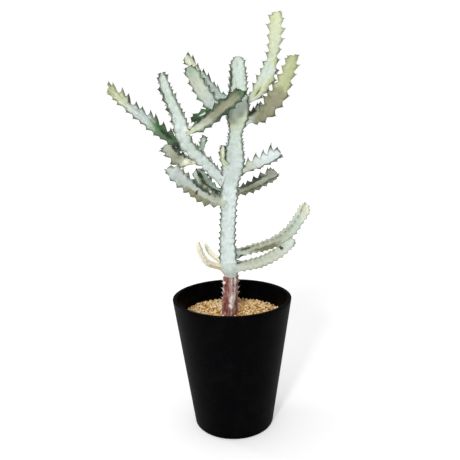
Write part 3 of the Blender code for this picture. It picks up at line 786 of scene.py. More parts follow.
def plastic_material():
    """Matte moulded plastic with fine grain, faint moulding rings, scuffs and settled dust."""
    pot = bpy.context.scene.euphorbia_pot
    made, tree, shader = new_material("black_plastic")
    shader.inputs["Specular IOR Level"].default_value = 0.05
    place = node(tree, "ShaderNodeTexCoord").outputs["Object"]
    clouds = speckle(tree, place, 22, 4.0, 0.6)
    plain = (*pot.plastic, 1.0)
    bluer = (pot.plastic[0] * 1.25, pot.plastic[1] * 1.4, pot.plastic[2] * 1.9, 1.0)
    body = mixed(tree, eased(tree, clouds, 0.42, 0.7), plain, bluer)
    scuffs = eased(tree, speckle(tree, stretched(tree, place, 1.0, 1.0, 0.2), 130, 6.0, 0.7), 0.66, 0.80)
    scuffed = mixed(tree, times(tree, scuffs, 0.02), body, (*pot.dust, 1.0))
    dust = placed(tree, settled_dust, {"Place": place, "Amount": 0.07, "Speck size": 420.0})["Mask"]
    dusted = mixed(tree, dust, scuffed, (*pot.dust, 1.0))
    matte = plus(tree, times(tree, clouds, 0.12), pot.roughness - 0.06)
    roughness = plus(tree, matte, times(tree, dust, 0.8))
    grain = speckle(tree, place, 1800, 2.0)
    rings = speckle(tree, stretched(tree, place, 0.02, 0.02, 1.0), 190, 2.0)
    finish_shader(tree, shader, dusted, roughness, plus(tree, times(tree, grain, 0.3), rings), 0.0003)
    return made


def granule_material(name, stops, damp):
    """Fired granules: each has its own tint, with pits and pale powder on it. damp: least roughness."""
    made, tree, shader = new_material(name)
    shader.inputs["Specular IOR Level"].default_value = 0.15
    place = node(tree, "ShaderNodeTexCoord").outputs["Object"]
    mottle = speckle(tree, place, 700, 3.0, 0.6)
    uneven = times(tree, minus(tree, mottle, 0.5), 0.5)
    tint = plus(tree, read(tree, "tint"), uneven)
    body = ramp(tree, tint, stops)
    dust = placed(tree, settled_dust, {"Place": place, "Amount": 0.2, "Speck size": 900.0})["Mask"]
    dusted = mixed(tree, dust, body, fill_colour("oyster"))
    pits = speckle(tree, place, 1500, 4.0, 0.7)
    finish_shader(tree, shader, dusted, ranged(tree, mottle, damp, damp + 0.25), pits, 0.0006)
    return made


def soil_material():
    """Dark crumbly soil flecked with bark."""
    made, tree, shader = new_material("dark_soil")
    place = node(tree, "ShaderNodeTexCoord").outputs["Object"]
    crumbs = speckle(tree, place, 320, 6.0, 0.7)
    soil = fill_colour("soil")
    body = ramp(tree, crumbs, ((0.36, darker(soil, 0.35)), (0.55, soil), (0.72, fill_colour("cocoa"))))
    finish_shader(tree, shader, body, ranged(tree, crumbs, 0.8, 1.0), crumbs, 0.002)
    return made


# Meshes


def make_piece(name, points, faces, material, replaced, attributes=None):
    """One piece from arrays: it rides on the root and stands for its solid."""
    mesh = bpy.data.meshes.new(name)
    mesh.from_pydata(points.tolist(), [], [face for block in faces for face in block.tolist()])
    mesh.shade_smooth()
    for label, values in (attributes or {}).items():
        put_attribute(mesh, label, values)
    mesh.materials.append(material)
    piece = bpy.data.objects.new(name, mesh)
    bpy.context.scene.collection.objects.link(piece)
    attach(piece, "root")
    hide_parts(replaced)
    return piece


def put_attribute(mesh, label, values):
    """A number or a vector for each point of a mesh, for its material to read."""
    if values.ndim == 2:
        mesh.attributes.new(label, "FLOAT_VECTOR", "POINT").data.foreach_set("vector", values.ravel())
    else:
        mesh.attributes.new(label, "FLOAT", "POINT").data.foreach_set("value", values)


def unit(vectors):
    return vectors / np.linalg.norm(vectors, axis=-1, keepdims=True)


def direction(heading, rise):
    """Unit vector of a compass heading and a rise above the horizontal, in degrees."""
    flat, up = math.radians(heading), math.radians(rise)
    return np.array((math.cos(up) * math.cos(flat), math.cos(up) * math.sin(flat), math.sin(up)))


def course(start, legs):
    """Points of the smooth centreline through the ends of the legs."""
    joints = [np.array(start)]
    for length, heading, rise in legs:
        joints.append(joints[-1] + direction(heading, rise) * length * MM)
    ends = [2 * joints[0] - joints[1], *joints, 2 * joints[-1] - joints[-2]]
    t = np.arange(CURVE_STEPS)[:, None] / CURVE_STEPS
    spans = [
        b + 0.5 * ((c - a) * t + (2 * a - 5 * b + 4 * c - d) * t**2 + (3 * b - a - 3 * c + d) * t**3)
        for a, b, c, d in zip(ends, ends[1:], ends[2:], ends[3:])
    ]
    return np.vstack([*spans, joints[-1:]])


def travelled(line):
    """Running length at each point of a line."""
    return np.concatenate([[0.0], np.cumsum(np.linalg.norm(np.diff(line, axis=0), axis=1))])


def points_at(line, places):
    run = travelled(line)
    return np.column_stack([np.interp(places, run, line[:, axis]) for axis in range(3)])


def ring_frames(line, places, stem):
    """Centre, along and two cross directions at each place, carried along without twisting."""
    ahead = points_at(line, np.minimum(places + TANGENT_REACH, places[-1]))
    behind = points_at(line, np.maximum(places - TANGENT_REACH, 0.0))
    along = unit(ahead - behind)
    upper = Vector((0, 0, 1)) if along[0][2] < 0.9 else Vector((1, 0, 0))
    first = Vector(along[0])
    carried = Matrix.Rotation(math.radians(stem.turn), 3, first) @ (upper - first * upper.dot(first))
    across = np.empty_like(along)
    side = np.array(carried)
    for index, forward in enumerate(along):
        side = unit(side - forward * side.dot(forward))
        across[index] = side
    return points_at(line, places), along, across, np.cross(along, across)


def rib_columns(ribs):
    """Each column's angle, its rib, and how far it lies from the crest to the furrow, 0 to 1."""
    steps = np.linspace(-1, 1, COLUMNS_PER_RIB, endpoint=False)
    lean = np.sign(steps) * np.abs(steps) ** CREST_CROWDING
    angle = (2 * np.arange(ribs)[:, None] + lean) * np.pi / ribs
    return angle.ravel(), np.repeat(np.arange(ribs), COLUMNS_PER_RIB), np.tile(np.abs(lean), ribs)


def rib_section(ribs, off):
    """Share of the crest radius at which the skin lies, off the crest: flat faces, hollowed a little."""
    half = math.pi / ribs
    flat = math.cos(half) / np.cos(half * (1 - off))
    hollowed = flat * (1 - HOLLOW[ribs] * np.sin(np.pi / 2 * off) ** 2)
    blunting = CREST_EDGE ** -CREST_ROUNDING
    rounded = (hollowed ** -CREST_ROUNDING + blunting) ** (-1 / CREST_ROUNDING)
    return rounded / (1 + blunting) ** (-1 / CREST_ROUNDING)


def wave(rng, places, spacing):
    """A smooth random line between -1 and 1 with about one turn in each spacing."""
    knots = np.arange(-2 * spacing, places[-1] + 3 * spacing, spacing)
    values = rng.uniform(-1, 1, len(knots))
    share = (places - knots[0]) / spacing
    index = share.astype(int)
    t = share - index
    ease = t * t * (3 - 2 * t)
    return values[index] * (1 - ease) + values[index + 1] * ease


def teeth_of(stem, places, rng):
    """Height of the tooth nearest each ring on each rib, how near its point is, and (ring, rib) of each."""
    pitch, size = stem.pitch * MM, bpy.context.scene.euphorbia_teeth.size
    step, end = places[1], places[-1]
    tall = np.zeros((len(places), stem.ribs))
    near = np.zeros_like(tall)
    points = []
    for rib in range(stem.ribs):
        centre = stem.bare * MM + (rib % 2) * pitch / 2
        while centre < end - TIP_MARGIN:
            at = centre + rng.integers(-2, 3) * step
            height = stem.teeth[rib] * MM * size * rng.uniform(*TOOTH_SIZES)
            if centre < stem.bare * MM + pitch:
                height *= FIRST_TOOTH
            if stem is not STOCK:
                height *= 1 - CROWN_TEETH * math.exp((centre - end) / CROWN_REACH)
            close = np.clip(1 - np.abs(places - at) / (pitch * TOOTH_SPAN), 0, 1)
            better = close > near[:, rib]
            near[better, rib] = close[better]
            tall[better, rib] = height
            points.append((min(int(round(at / step)), len(places) - 1), rib))
            last = centre
            centre += pitch * (CROWDING if end - centre < CROWDED_TIP else 1)
            if centre >= end - TIP_MARGIN > last + TIP_TOOTH_ROOM:
                centre = end - TIP_TOOTH_INSET
    return tall, near, points


def spines(roots, outward, along, length, radius):
    """Paired thorns at each tooth's point: five-sided cones, as points and faces."""
    aside = np.cross(along, outward)
    points, faces = [], []
    for sign in (-1, 1):
        for root, out, up, side in zip(roots, outward, along, aside):
            lead = unit(out * 0.8 + up * 0.45 + side * sign * 0.6)
            across = unit(np.cross(lead, up))
            other = np.cross(lead, across)
            base = root - lead * radius * 1.5
            first = len(points)
            for corner in range(SPINE_SIDES):
                turn = math.tau * corner / SPINE_SIDES
                points.append(base + (across * math.cos(turn) + other * math.sin(turn)) * radius)
            points.append(root + lead * length)
            point = first + SPINE_SIDES
            faces += [(first + c, first + (c + 1) % SPINE_SIDES, point) for c in range(SPINE_SIDES)]
            faces += [(first, first + c + 1, first + c) for c in range(1, SPINE_SIDES - 1)]
    return np.array(points), np.array(faces)


def mark_weights(stem, angle, places):
    """For each paint that marks the stem, how strongly it shows at each ring and column."""
    weights = {}
    around = stem.turn + np.degrees(angle)
    for mark in MARKS.get(stem.name, ()):
        away = (around - mark.around + 180) % 360 - 180
        length = (places - mark.share * places[-1]) / (mark.long * MM)
        weight = np.exp(-(length[:, None] ** 2) - (away / mark.wide)[None, :] ** 2)
        key = f"mark_{mark.paint}"
        weights[key] = np.maximum(weights.get(key, 0.0), weight)
    return weights


def crest_line(stem, places, seat, blunt):
    """Crest radius at each ring: a slim foot in the carrier, a collar where it comes out, a tapered tip."""
    shares, radii = zip(*stem.girth)
    crest = np.interp(places / places[-1], shares, radii) * MM
    if seat:
        crest *= 1 + COLLAR * np.exp(-np.maximum(places - seat, 0) / COLLAR_LENGTH)
        crest *= FOOT + (1 - FOOT) * np.minimum(places / seat, 1) ** 2
    if not blunt:
        crest *= 1 - TIP_TAPER * np.exp((places - places[-1]) / TIP_REACH)
    return crest


Relief = namedtuple("Relief", "radius ahead roundness tooth points")


def rib_relief(stem, places, crest, blunt, rng):
    """The skin's radius at each ring and column, how far its teeth lean ahead, and where they are."""
    angle, rib, off = rib_columns(stem.ribs)
    forward = TOOTH_LEAN + (0 if blunt else CROWN_LEAN) * np.exp((places - places[-1]) / CROWN_REACH)
    wander = [1 + RIB_WANDER * wave(rng, places, RIB_WANDER_LENGTH) for _ in range(stem.ribs)]
    ribbed = np.clip(places / (stem.bare * MM) * 1.5 - 0.4, 0, 1)
    roundness = (1 - ribbed**2 * (3 - 2 * ribbed))[:, None]
    section = rib_section(stem.ribs, off)[None, :]
    section = section + (NECK_SECTION - section) * roundness * off[None, :] ** 0.5
    tall, near, points = teeth_of(stem, places, rng)
    tall, near = tall[:, rib], near[:, rib]
    aside = crest[:, None] * math.pi / stem.ribs * off[None, :]
    fin = np.exp(-((aside / (TOOTH_ROOT + (TOOTH_TIP - TOOTH_ROOT) * near)) ** 2))
    lift = tall * near**TOOTH_CURVE * fin
    size = bpy.context.scene.euphorbia_teeth.size
    usual = np.array(stem.teeth)[rib][None, :] * MM * size * (1 - roundness)
    scoop = SCOOP * usual * (1 - near) ** 1.5 * np.exp(-((aside / SCOOP_WIDTH) ** 2))
    buttress = BUTTRESS * tall * near * np.exp(-((aside / BUTTRESS_WIDTH) ** 2))
    lumps = sum(
        LUMP_HEIGHT * wave(rng, places, spacing)[:, None] * np.cos(turns * angle + rng.uniform(0, 6))[None, :]
        for spacing, turns in LUMPS
    )
    radius = crest[:, None] * np.column_stack(wander)[:, rib] * section + lift + buttress - scoop + lumps
    tooth = near * fin * np.minimum(1, tall / FULL_TOOTH)
    return Relief(radius, lift * near * forward[:, None], roundness, tooth, points)


def tube_faces(rows, columns, first_pole, last_pole):
    """Faces of a closed tube of rings: its sides, and the fans that close its first and its last ring."""
    index = np.arange(rows * columns).reshape(rows, columns)
    beyond = np.roll(index, -1, axis=1)
    sides = np.stack([index[:-1], beyond[:-1], beyond[1:], index[1:]], axis=-1).reshape(-1, 4)
    first = np.stack([beyond[0], index[0], np.full(columns, first_pole)], axis=-1)
    last = np.stack([index[-1], beyond[-1], np.full(columns, last_pole)], axis=-1)
    return sides, first, last


def stem_arrays(stem, start, seat, seed, blunt=False):
    """The ribbed and toothed skin of one stem: points, faces, and the numbers that its material reads."""
    rng = np.random.default_rng(seed)
    line = course(start, stem.legs)
    length = travelled(line)[-1]
    places = np.linspace(0, length, round(length / (stem.pitch * MM) * RINGS_PER_TOOTH) + 1)
    centres, along, across, beside = ring_frames(line, places, stem)
    angle, _, off = rib_columns(stem.ribs)
    relief = rib_relief(stem, places, crest_line(stem, places, seat, blunt), blunt, rng)
    radius, ahead = relief.radius, relief.ahead
    outward = across[:, None, :] * np.cos(angle)[None, :, None]
    outward = outward + beside[:, None, :] * np.sin(angle)[None, :, None]
    skin = centres[:, None, :] + outward * radius[..., None] + along[:, None, :] * ahead[..., None]
    cap = radius[-1].mean() * (BLUNT_CAP if blunt else TIP_CAP)
    dome = [
        centres[-1] + outward[-1] * (radius[-1] * math.cos(math.radians(turn)))[:, None]
        + along[-1] * (ahead[-1] + cap * math.sin(math.radians(turn)))[:, None]
        for turn in TIP_TURNS
    ]
    rows, columns = len(places) + len(dome), len(angle)
    count = rows * columns
    tip, foot = centres[-1] + along[-1] * cap, centres[0]
    sides, bottom, top = tube_faces(rows, columns, count + 1, count)
    rings = np.array([ring for ring, _ in relief.points])
    crests = np.array([rib * COLUMNS_PER_RIB + COLUMNS_PER_RIB // 2 for _, rib in relief.points])
    teeth = bpy.context.scene.euphorbia_teeth
    thorn_length = teeth.spine_length * (1 if stem.teeth[0] > 1 else SHORT_SPINE)
    thorn_points, thorn_faces = spines(
        skin[rings, crests], outward[rings, crests], along[rings], thorn_length, teeth.spine_radius
    )
    all_points = np.vstack([skin.reshape(-1, 3), np.vstack(dome), tip, foot, thorn_points])
    faces = [sides, top, bottom, thorn_faces + count + 2]

    def spread(values, thorns):
        """Values of the rings carried over the dome, the two poles and the thorns."""
        whole = np.vstack([values, np.repeat(values[-1:], len(dome), axis=0)]).ravel()
        return np.concatenate([whole, [values[-1].mean(), values[0].mean()], thorns]).astype(np.float32)

    corners = SPINE_SIDES + 1
    per_thorn = np.tile(np.repeat(places[rings] / length, corners), 2)
    ones = np.ones_like(per_thorn)
    flat = np.ones((1, columns))
    attributes = {
        "along": spread(places[:, None] / length * flat, per_thorn),
        "crest": spread((1 - off)[None, :] * (1 - relief.roundness * 0.8), ones),
        "tooth": spread(relief.tooth, ones),
    }
    for key, weight in mark_weights(stem, angle, places).items():
        attributes[key] = spread(weight, 0 * per_thorn)
    grown = np.stack([
        NOMINAL_RADIUS * np.cos(angle)[None, :] + 0 * places[:, None] + seed * SEED_STEP,
        NOMINAL_RADIUS * np.sin(angle)[None, :] + 0 * places[:, None],
        places[:, None] * flat,
    ], axis=-1)
    climb = np.array((0, 0, 0.002)) * np.arange(1, len(dome) + 1)[:, None, None]
    over = np.repeat(grown[-1:], len(dome), axis=0) + climb
    thorn_grown = np.tile(np.repeat(grown[rings, crests], corners, axis=0), (2, 1))
    attributes["grown"] = np.vstack([
        grown.reshape(-1, 3), over.reshape(-1, 3), grown[-1].mean(0), grown[0].mean(0), thorn_grown,
    ]).astype(np.float32)
    return all_points, faces, attributes


def joined(parts):
    """Several bodies' arrays as one."""
    points, faces, attributes = [], [], {}
    count = 0
    for more_points, more_faces, more in parts:
        points.append(more_points)
        faces += [block + count for block in more_faces]
        count += len(more_points)
        for key, values in more.items():
            attributes.setdefault(key, []).append(values)
    return np.vstack(points), faces, {key: np.concatenate(values) for key, values in attributes.items()}


def add_undersides(piece):
    """How far the skin faces down at each point, which sets the painted brown shade on the undersides."""
    normals = np.empty(len(piece.data.vertices) * 3, np.float32)
    piece.data.vertex_normals.foreach_get("vector", normals)
    put_attribute(piece.data, "under", np.clip(-normals.reshape(-1, 3)[:, 2], 0, 1))


def stem_starts():
    """Where each stem starts, and its carrier's crest radius there."""
    lines = {}
    starts = {}
    for stem in STEMS:
        if stem.parent:
            carrier = next(s for s in STEMS if s.name == stem.parent)
            line = lines[stem.parent]
            start = points_at(line, np.array([stem.share * travelled(line)[-1]]))[0]
            seat = np.interp(stem.share, *zip(*carrier.girth)) * MM * 0.75
        else:
            start = course(STOCK_FOOT, STOCK.legs)[-1] + np.array((0, 0, GRAFT_GAP))
            seat = 0.0
        lines[stem.name] = course(start, stem.legs)
        starts[stem.name] = (start, seat)
    return starts


def withered(stem, start, flower, labels):
    """A clump of dry crumpled flowers held at a rib, as parts like those of stem_arrays."""
    rng = np.random.default_rng(round(flower.share * 1000))
    shapes, faces = granule_shapes(rng)
    line = course(start, stem.legs)
    places = np.linspace(0, travelled(line)[-1], FLOWER_STATIONS + 1)
    centres, along, across, beside = ring_frames(line, places, stem)
    ring = round(flower.share * FLOWER_STATIONS)
    turn = math.radians(flower.around - stem.turn)
    out = across[ring] * math.cos(turn) + beside[ring] * math.sin(turn)
    crest = np.interp(flower.share, *zip(*stem.girth)) * MM
    parts = []
    for _ in range(flower.count):
        shape = shapes[rng.integers(GRANULE_SHAPES)] * np.array(FLOWER_FLATNESS) @ turn_matrix(rng).T
        spot = centres[ring] + out * (crest + rng.uniform(0, FLOWER_RISE) * MM)
        spot = spot + along[ring] * rng.normal() * FLOWER_SPREAD * MM
        points = shape * rng.uniform(*FLOWER_RADII) * MM + spot + rng.normal(size=3) * FLOWER_JITTER * MM
        attributes = {label: np.zeros(len(points), np.float32) for label in labels}
        attributes["grown"] = points.astype(np.float32)
        attributes["along"] += flower.share
        attributes[f"mark_{flower.paint}"] += 1
        parts.append((points, [faces], attributes))
    return parts


def grow(stem):
    """One stem with its dry flowers, as one piece in its own skin."""
    start, seat = stem_starts()[stem.name]
    parts = [stem_arrays(stem, start, seat, STEMS.index(stem) + 3)]
    for flower in FLOWERS.get(stem.name, ()):
        parts += withered(stem, start, flower, parts[0][2])
    points, faces, attributes = joined(parts)
    skin = skin_material(stem)
    piece = make_piece(stem.name + "_skin", points, faces, skin, stem.name, attributes)
    add_undersides(piece)


def arc(centre_radius, centre_height, radius, first, last, steps=6):
    """Points of a profile's rounding, in degrees from +X."""
    turns = [math.radians(first + (last - first) * step / steps) for step in range(steps + 1)]
    return [(centre_radius + radius * math.cos(t), centre_height + radius * math.sin(t)) for t in turns]


def turned(profile, steps):
    """A turned body from (radius, height) points that start and end on the axis, as points and faces."""
    inner = np.array(profile[1:-1])
    turns = np.arange(steps) * math.tau / steps
    rings = np.stack([
        inner[:, :1] * np.cos(turns)[None, :],
        inner[:, :1] * np.sin(turns)[None, :],
        np.repeat(inner[:, 1:], steps, axis=1),
    ], axis=-1)
    count = len(inner) * steps
    poles = [(0, 0, profile[0][1]), (0, 0, profile[-1][1])]
    return np.vstack([rings.reshape(-1, 3), poles]), tube_faces(len(inner), steps, count, count + 1)


def pot_radius(height):
    """Outer radius of the pot's straight wall."""
    return POT_FOOT_RADIUS + (POT_TOP_RADIUS - POT_FOOT_RADIUS) * height / POT_HEIGHT


def pot_profile():
    """(radius, height) points from the underside's middle, up the outside and down to the pot's floor."""
    ring_inside = POT_FOOT_RADIUS - FOOT_ROUNDING - FOOT_RING_WIDTH
    lip_bottom = POT_HEIGHT - LIP_DEPTH
    floor_edge = pot_radius(FLOOR_TOP) - BODY_WALL
    rim = POT_HEIGHT - RIM_ROUNDING
    return [
        (0.0, 0.0),
        (CENTRE_PAD_RADIUS, 0.0),
        (CENTRE_PAD_RADIUS + FOOT_EDGE, FOOT_EDGE_RISE),
        (CENTRE_PAD_RADIUS + 2 * FOOT_EDGE, UNDERSIDE_RISE),
        (ring_inside - 2 * FOOT_EDGE, UNDERSIDE_RISE),
        (ring_inside - FOOT_EDGE, FOOT_EDGE_RISE),
        (ring_inside, 0.0),
        *arc(pot_radius(FOOT_ROUNDING) - FOOT_ROUNDING, FOOT_ROUNDING, FOOT_ROUNDING, -90, 0, 8),
        *[(pot_radius(h), h) for h in np.linspace(0.02, POT_HEIGHT - 0.012, 24)],
        *arc(pot_radius(rim) - RIM_ROUNDING, rim, RIM_ROUNDING, 0, 90),
        *arc(pot_radius(rim) - LIP_WALL + RIM_ROUNDING, rim, RIM_ROUNDING, 90, 180),
        *[(pot_radius(h) - LIP_WALL, h) for h in np.linspace(rim - 0.004, lip_bottom + 0.002, 6)],
        (pot_radius(lip_bottom) - LIP_WALL, lip_bottom),
        (pot_radius(lip_bottom) - BODY_WALL, lip_bottom - 0.001),
        *[(pot_radius(h) - BODY_WALL, h) for h in np.linspace(lip_bottom - 0.004, FLOOR_TOP + 0.005, 12)],
        *arc(floor_edge - FLOOR_ROUNDING, FLOOR_TOP + FLOOR_ROUNDING, FLOOR_ROUNDING, 0, -90),
        (0.0, FLOOR_TOP),
    ]


def drain_cutter(index):
    """A short rod through the pot's floor."""
    turn = math.tau * (index + 0.5) / DRAIN_HOLES
    bm = bmesh.new()
    bmesh.ops.create_cone(
        bm, cap_ends=True, segments=32, radius1=DRAIN_HOLE_RADIUS, radius2=DRAIN_HOLE_RADIUS,
        depth=DRAIN_CUTTER_LENGTH,
    )
    place = Vector((math.cos(turn), math.sin(turn), 0)) * DRAIN_CIRCLE_RADIUS
    bmesh.ops.translate(bm, verts=bm.verts, vec=place)
    mesh = bpy.data.meshes.new("drain_cutter")
    bm.to_mesh(mesh)
    bm.free()
    cutter = bpy.data.objects.new("drain_cutter", mesh)
    bpy.context.scene.collection.objects.link(cutter)
    return cutter


def pierce(piece, cutters):
    """Cuts the cutters out of a piece for good, then drops them."""
    for cutter in cutters:
        step = piece.modifiers.new("hole", "BOOLEAN")
        step.operation = "DIFFERENCE"
        step.object = cutter
    bpy.context.view_layer.update()
    cut = bpy.data.meshes.new_from_object(piece.evaluated_get(bpy.context.evaluated_depsgraph_get()))
    piece.modifiers.clear()
    piece.data = cut
    for cutter in cutters:
        bpy.data.objects.remove(cutter)


def granule_shapes(rng):
    """Points of broken granules of about unit radius, and the faces that they all share."""
    bm = bmesh.new()
    bmesh.ops.create_icosphere(bm, subdivisions=2, radius=1.0)
    ball = np.array([vert.co for vert in bm.verts])
    faces = np.array([[vert.index for vert in face.verts] for face in bm.faces])
    bm.free()
    shapes = []
    for _ in range(GRANULE_SHAPES):
        shape = ball * rng.uniform(0.82, 1.15, 3)
        for cut in unit(rng.normal(size=(GRANULE_CUTS, 3))):
            beyond = shape @ cut - rng.uniform(0.62, 0.92)
            shape = shape - np.maximum(beyond, 0)[:, None] * cut
        shapes.append(shape * (1 + rng.uniform(-0.04, 0.04, (len(shape), 1))))
    return shapes, faces


def inside_wall(height):
    return pot_radius(height) - LIP_WALL


def dressing_top(distance):
    """Height of the dressing's surface at a distance from the pot's axis."""
    return GRAVEL_TOP - GRAVEL_CROWN * (distance / inside_wall(GRAVEL_TOP)) ** 2


def lay_granules(rng):
    """Rest places and radii of the granules: each takes the lowest of a few places to settle in."""
    fill = bpy.context.scene.euphorbia_fill
    stock_x = points_at(course(STOCK_FOOT, STOCK.legs), np.array([GRAVEL_TOP - STOCK_FOOT[2]]))[0][0]
    laid = np.empty((0, 4))
    for _ in range(fill.count):
        radius = fill.smallest + (fill.largest - fill.smallest) * rng.random() ** GRANULE_BIAS
        reach = inside_wall(GRAVEL_TOP) - radius * 0.8
        distance = reach * np.sqrt(rng.random(GRANULE_TRIES))
        turn = rng.uniform(0, math.tau, GRANULE_TRIES)
        spots = np.column_stack([distance * np.cos(turn), distance * np.sin(turn)])
        clear = np.hypot(spots[:, 0] - stock_x, spots[:, 1]) > STOCK_CLEARANCE + radius * 0.7
        spots, distance = spots[clear], distance[clear]
        rest = dressing_top(distance) - BED_DEPTH + radius * 0.5
        if len(laid):
            gap = np.hypot(spots[:, :1] - laid[:, 0], spots[:, 1:] - laid[:, 1])
            touch = (laid[:, 3] + radius) * GRANULE_SINK
            on_top = laid[:, 2] + np.sqrt(np.maximum(touch**2 - gap**2, 0))
            rest = np.maximum(rest, np.where(gap < touch, on_top, 0).max(axis=1))
        over = rest + radius * 0.75 - dressing_top(distance)
        best = int(np.argmin(over))
        if over[best] < GRANULE_PLAY * rng.random():
            laid = np.vstack([laid, [*spots[best], rest[best], radius]])
    return laid


def turn_matrix(rng):
    """A random rotation as a 3 x 3 array."""
    quaternion = unit(rng.normal(size=4))
    w, x, y, z = quaternion
    return np.array([
        [1 - 2 * (y * y + z * z), 2 * (x * y - w * z), 2 * (x * z + w * y)],
        [2 * (x * y + w * z), 1 - 2 * (x * x + z * z), 2 * (y * z - w * x)],
        [2 * (x * z - w * y), 2 * (y * z + w * x), 1 - 2 * (x * x + y * y)],
    ])


def make_granules():
    """The granules in three mixes, each its own piece."""
    rng = np.random.default_rng(41)
    shapes, faces = granule_shapes(rng)
    mixes = {"golden_granules": [], "pale_granules": [], "dark_granules": []}
    for x, y, z, radius in lay_granules(rng):
        damp = noise.noise(Vector((x * DAMP_PATCH, y * DAMP_PATCH, 3.1)))
        draw = rng.random() + 0.35 * damp
        name = "golden_granules"
        if draw < PALE_SHARE:
            name = "pale_granules"
        elif draw > DARK_FROM:
            name = "dark_granules"
        shape = shapes[rng.integers(GRANULE_SHAPES)] @ turn_matrix(rng).T * radius
        points = shape + np.array((x, y, z))
        tint = np.full(len(points), rng.random(), np.float32)
        mixes[name].append((points, [faces], {"tint": tint}))
    colours = {
        "golden_granules": ((0.1, "honey"), (0.45, "amber"), (0.9, "biscuit")),
        "pale_granules": ((0.1, "biscuit"), (0.6, "oyster")),
        "dark_granules": ((0.1, "cocoa"), (0.8, "honey")),
    }
    for name, parts in mixes.items():
        stops = [(place, fill_colour(colour)) for place, colour in colours[name]]
        material = granule_material(name + "_grain", stops, 0.6)
        points, blocks, attributes = joined(parts)
        piece = make_piece(name, points, blocks, material, "gravel_dressing", attributes)
        piece.data.shade_flat()


def rough_top(points, height, depth, size):
    """Points above a height moved up and down by noise."""
    for point in points:
        if point[2] > height:
            point[2] += depth * noise.noise(Vector(point) * size)
    return points


def bed_profile(lower, upper, lower_radius, upper_radius):
    """(radius, height) points of a flat bed, with rings across its top for the roughness."""
    across = np.linspace(upper_radius, 0.0, 40)
    return [(0.0, lower), (lower_radius, lower), *[(r, upper) for r in across[:-1]], (0.0, upper)]


class EUPHORBIA_OT_pot(Operator):
    """Turn the pot, pierce its floor and give it its plastic"""

    bl_idname = "euphorbia.pot"
    bl_label = "Pot"

    def execute(self, context):
        points, faces = turned(pot_profile(), context.scene.euphorbia_pot.rounds)
        pot = make_piece("tapered_pot", points, faces, plastic_material(), "pot")
        pierce(pot, [drain_cutter(index) for index in range(DRAIN_HOLES)])
        pot.data.set_sharp_from_angle(angle=math.radians(50))
        return {"FINISHED"}


class EUPHORBIA_OT_soil(Operator):
    """Fill the pot with crumbly soil"""

    bl_idname = "euphorbia.soil"
    bl_label = "Soil"

    def execute(self, context):
        low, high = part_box("potting_soil")
        foot_radius = pot_radius(low.z) - BODY_WALL - 0.004
        profile = bed_profile(low.z + BED_GAP, SOIL_TOP - BED_GAP, foot_radius, high.x - BED_GAP)
        points, faces = turned(profile, 96)
        points = rough_top(points, SOIL_TOP - 2 * BED_GAP, depth=0.0005, size=120)
        make_piece("soil_fill", points, faces, soil_material(), "potting_soil")
        return {"FINISHED"}


class EUPHORBIA_OT_granules(Operator):
    """Lay the granules that dress the soil, and the bed that they lie on"""

    bl_idname = "euphorbia.granules"
    bl_label = "Granules"

    def execute(self, context):
        bed_top = GRAVEL_TOP - BED_DEPTH
        foot_radius = inside_wall(SOIL_TOP + 0.001) - 0.001
        profile = bed_profile(SOIL_TOP + BED_GAP, bed_top, foot_radius, inside_wall(bed_top) - BED_GAP)
        points, faces = turned(profile, 144)
        points = rough_top(points, bed_top - 0.0005, depth=0.0016, size=260)
        # The bed is tinted between cocoa and honey: the darker layer under the top granules, partly as
        # painted shade in the gaps between them.
        stops = ((0.2, fill_colour("cocoa")), (0.7, fill_colour("honey")))
        attributes = {"tint": np.full(len(points), 0.4, np.float32)}
        bed = granule_material("granule_bed_grain", stops, 0.75)
        make_piece("granule_bed", points, faces, bed, "gravel_dressing", attributes)
        make_granules()
        return {"FINISHED"}


class EUPHORBIA_OT_stock(Operator):
    """Grow the brown stock and its roots"""

    bl_idname = "euphorbia.stock"
    bl_label = "Stock"

    def execute(self, context):
        parts = [stem_arrays(STOCK, np.array(STOCK_FOOT), 0.0, 1, blunt=True)]
        for index in range(ROOTS):
            heading = 360 * index / ROOTS + 12
            legs = ((ROOT_REACH * 0.5, heading, -35), (ROOT_REACH * 0.5, heading + 15, -60))
            girth = ((0, ROOT_RADIUS), (1, ROOT_RADIUS * 0.4))
            root = Stem("rootstock", None, 0.0, legs, girth, 3, 0, 20, (0.3,) * 3, 50, "stock_bark")
            start = np.array(STOCK_FOOT) + np.array((0, 0, ROOT_START))
            parts.append(stem_arrays(root, start, 0.0, 60 + index))
        points, faces, attributes = joined(parts)
        make_piece("stock_and_roots", points, faces, bark_material(), "rootstock", attributes)
        return {"FINISHED"}


class EUPHORBIA_OT_main_stem(Operator):
    """Grow the four-ribbed main stem on the graft"""

    bl_idname = "euphorbia.main_stem"
    bl_label = "Main stem"

    def execute(self, context):
        grow(MAIN_STEM)
        return {"FINISHED"}


class EUPHORBIA_OT_low_arms(Operator):
    """Grow the thin shoots and the long arms just above the graft"""

    bl_idname = "euphorbia.low_arms"
    bl_label = "Low arms"

    def execute(self, context):
        for stem in LOW_ARMS:
            grow(stem)
        return {"FINISHED"}


class EUPHORBIA_OT_middle_arms(Operator):
    """Grow the arms of the middle swelling and those that the left limb carries"""

    bl_idname = "euphorbia.middle_arms"
    bl_label = "Middle arms"

    def execute(self, context):
        for stem in MIDDLE_ARMS:
            grow(stem)
        return {"FINISHED"}


class EUPHORBIA_OT_upper_arms(Operator):
    """Grow the arms of the crown"""

    bl_idname = "euphorbia.upper_arms"
    bl_label = "Upper arms"

    def execute(self, context):
        for stem in UPPER_ARMS:
            grow(stem)
        return {"FINISHED"}


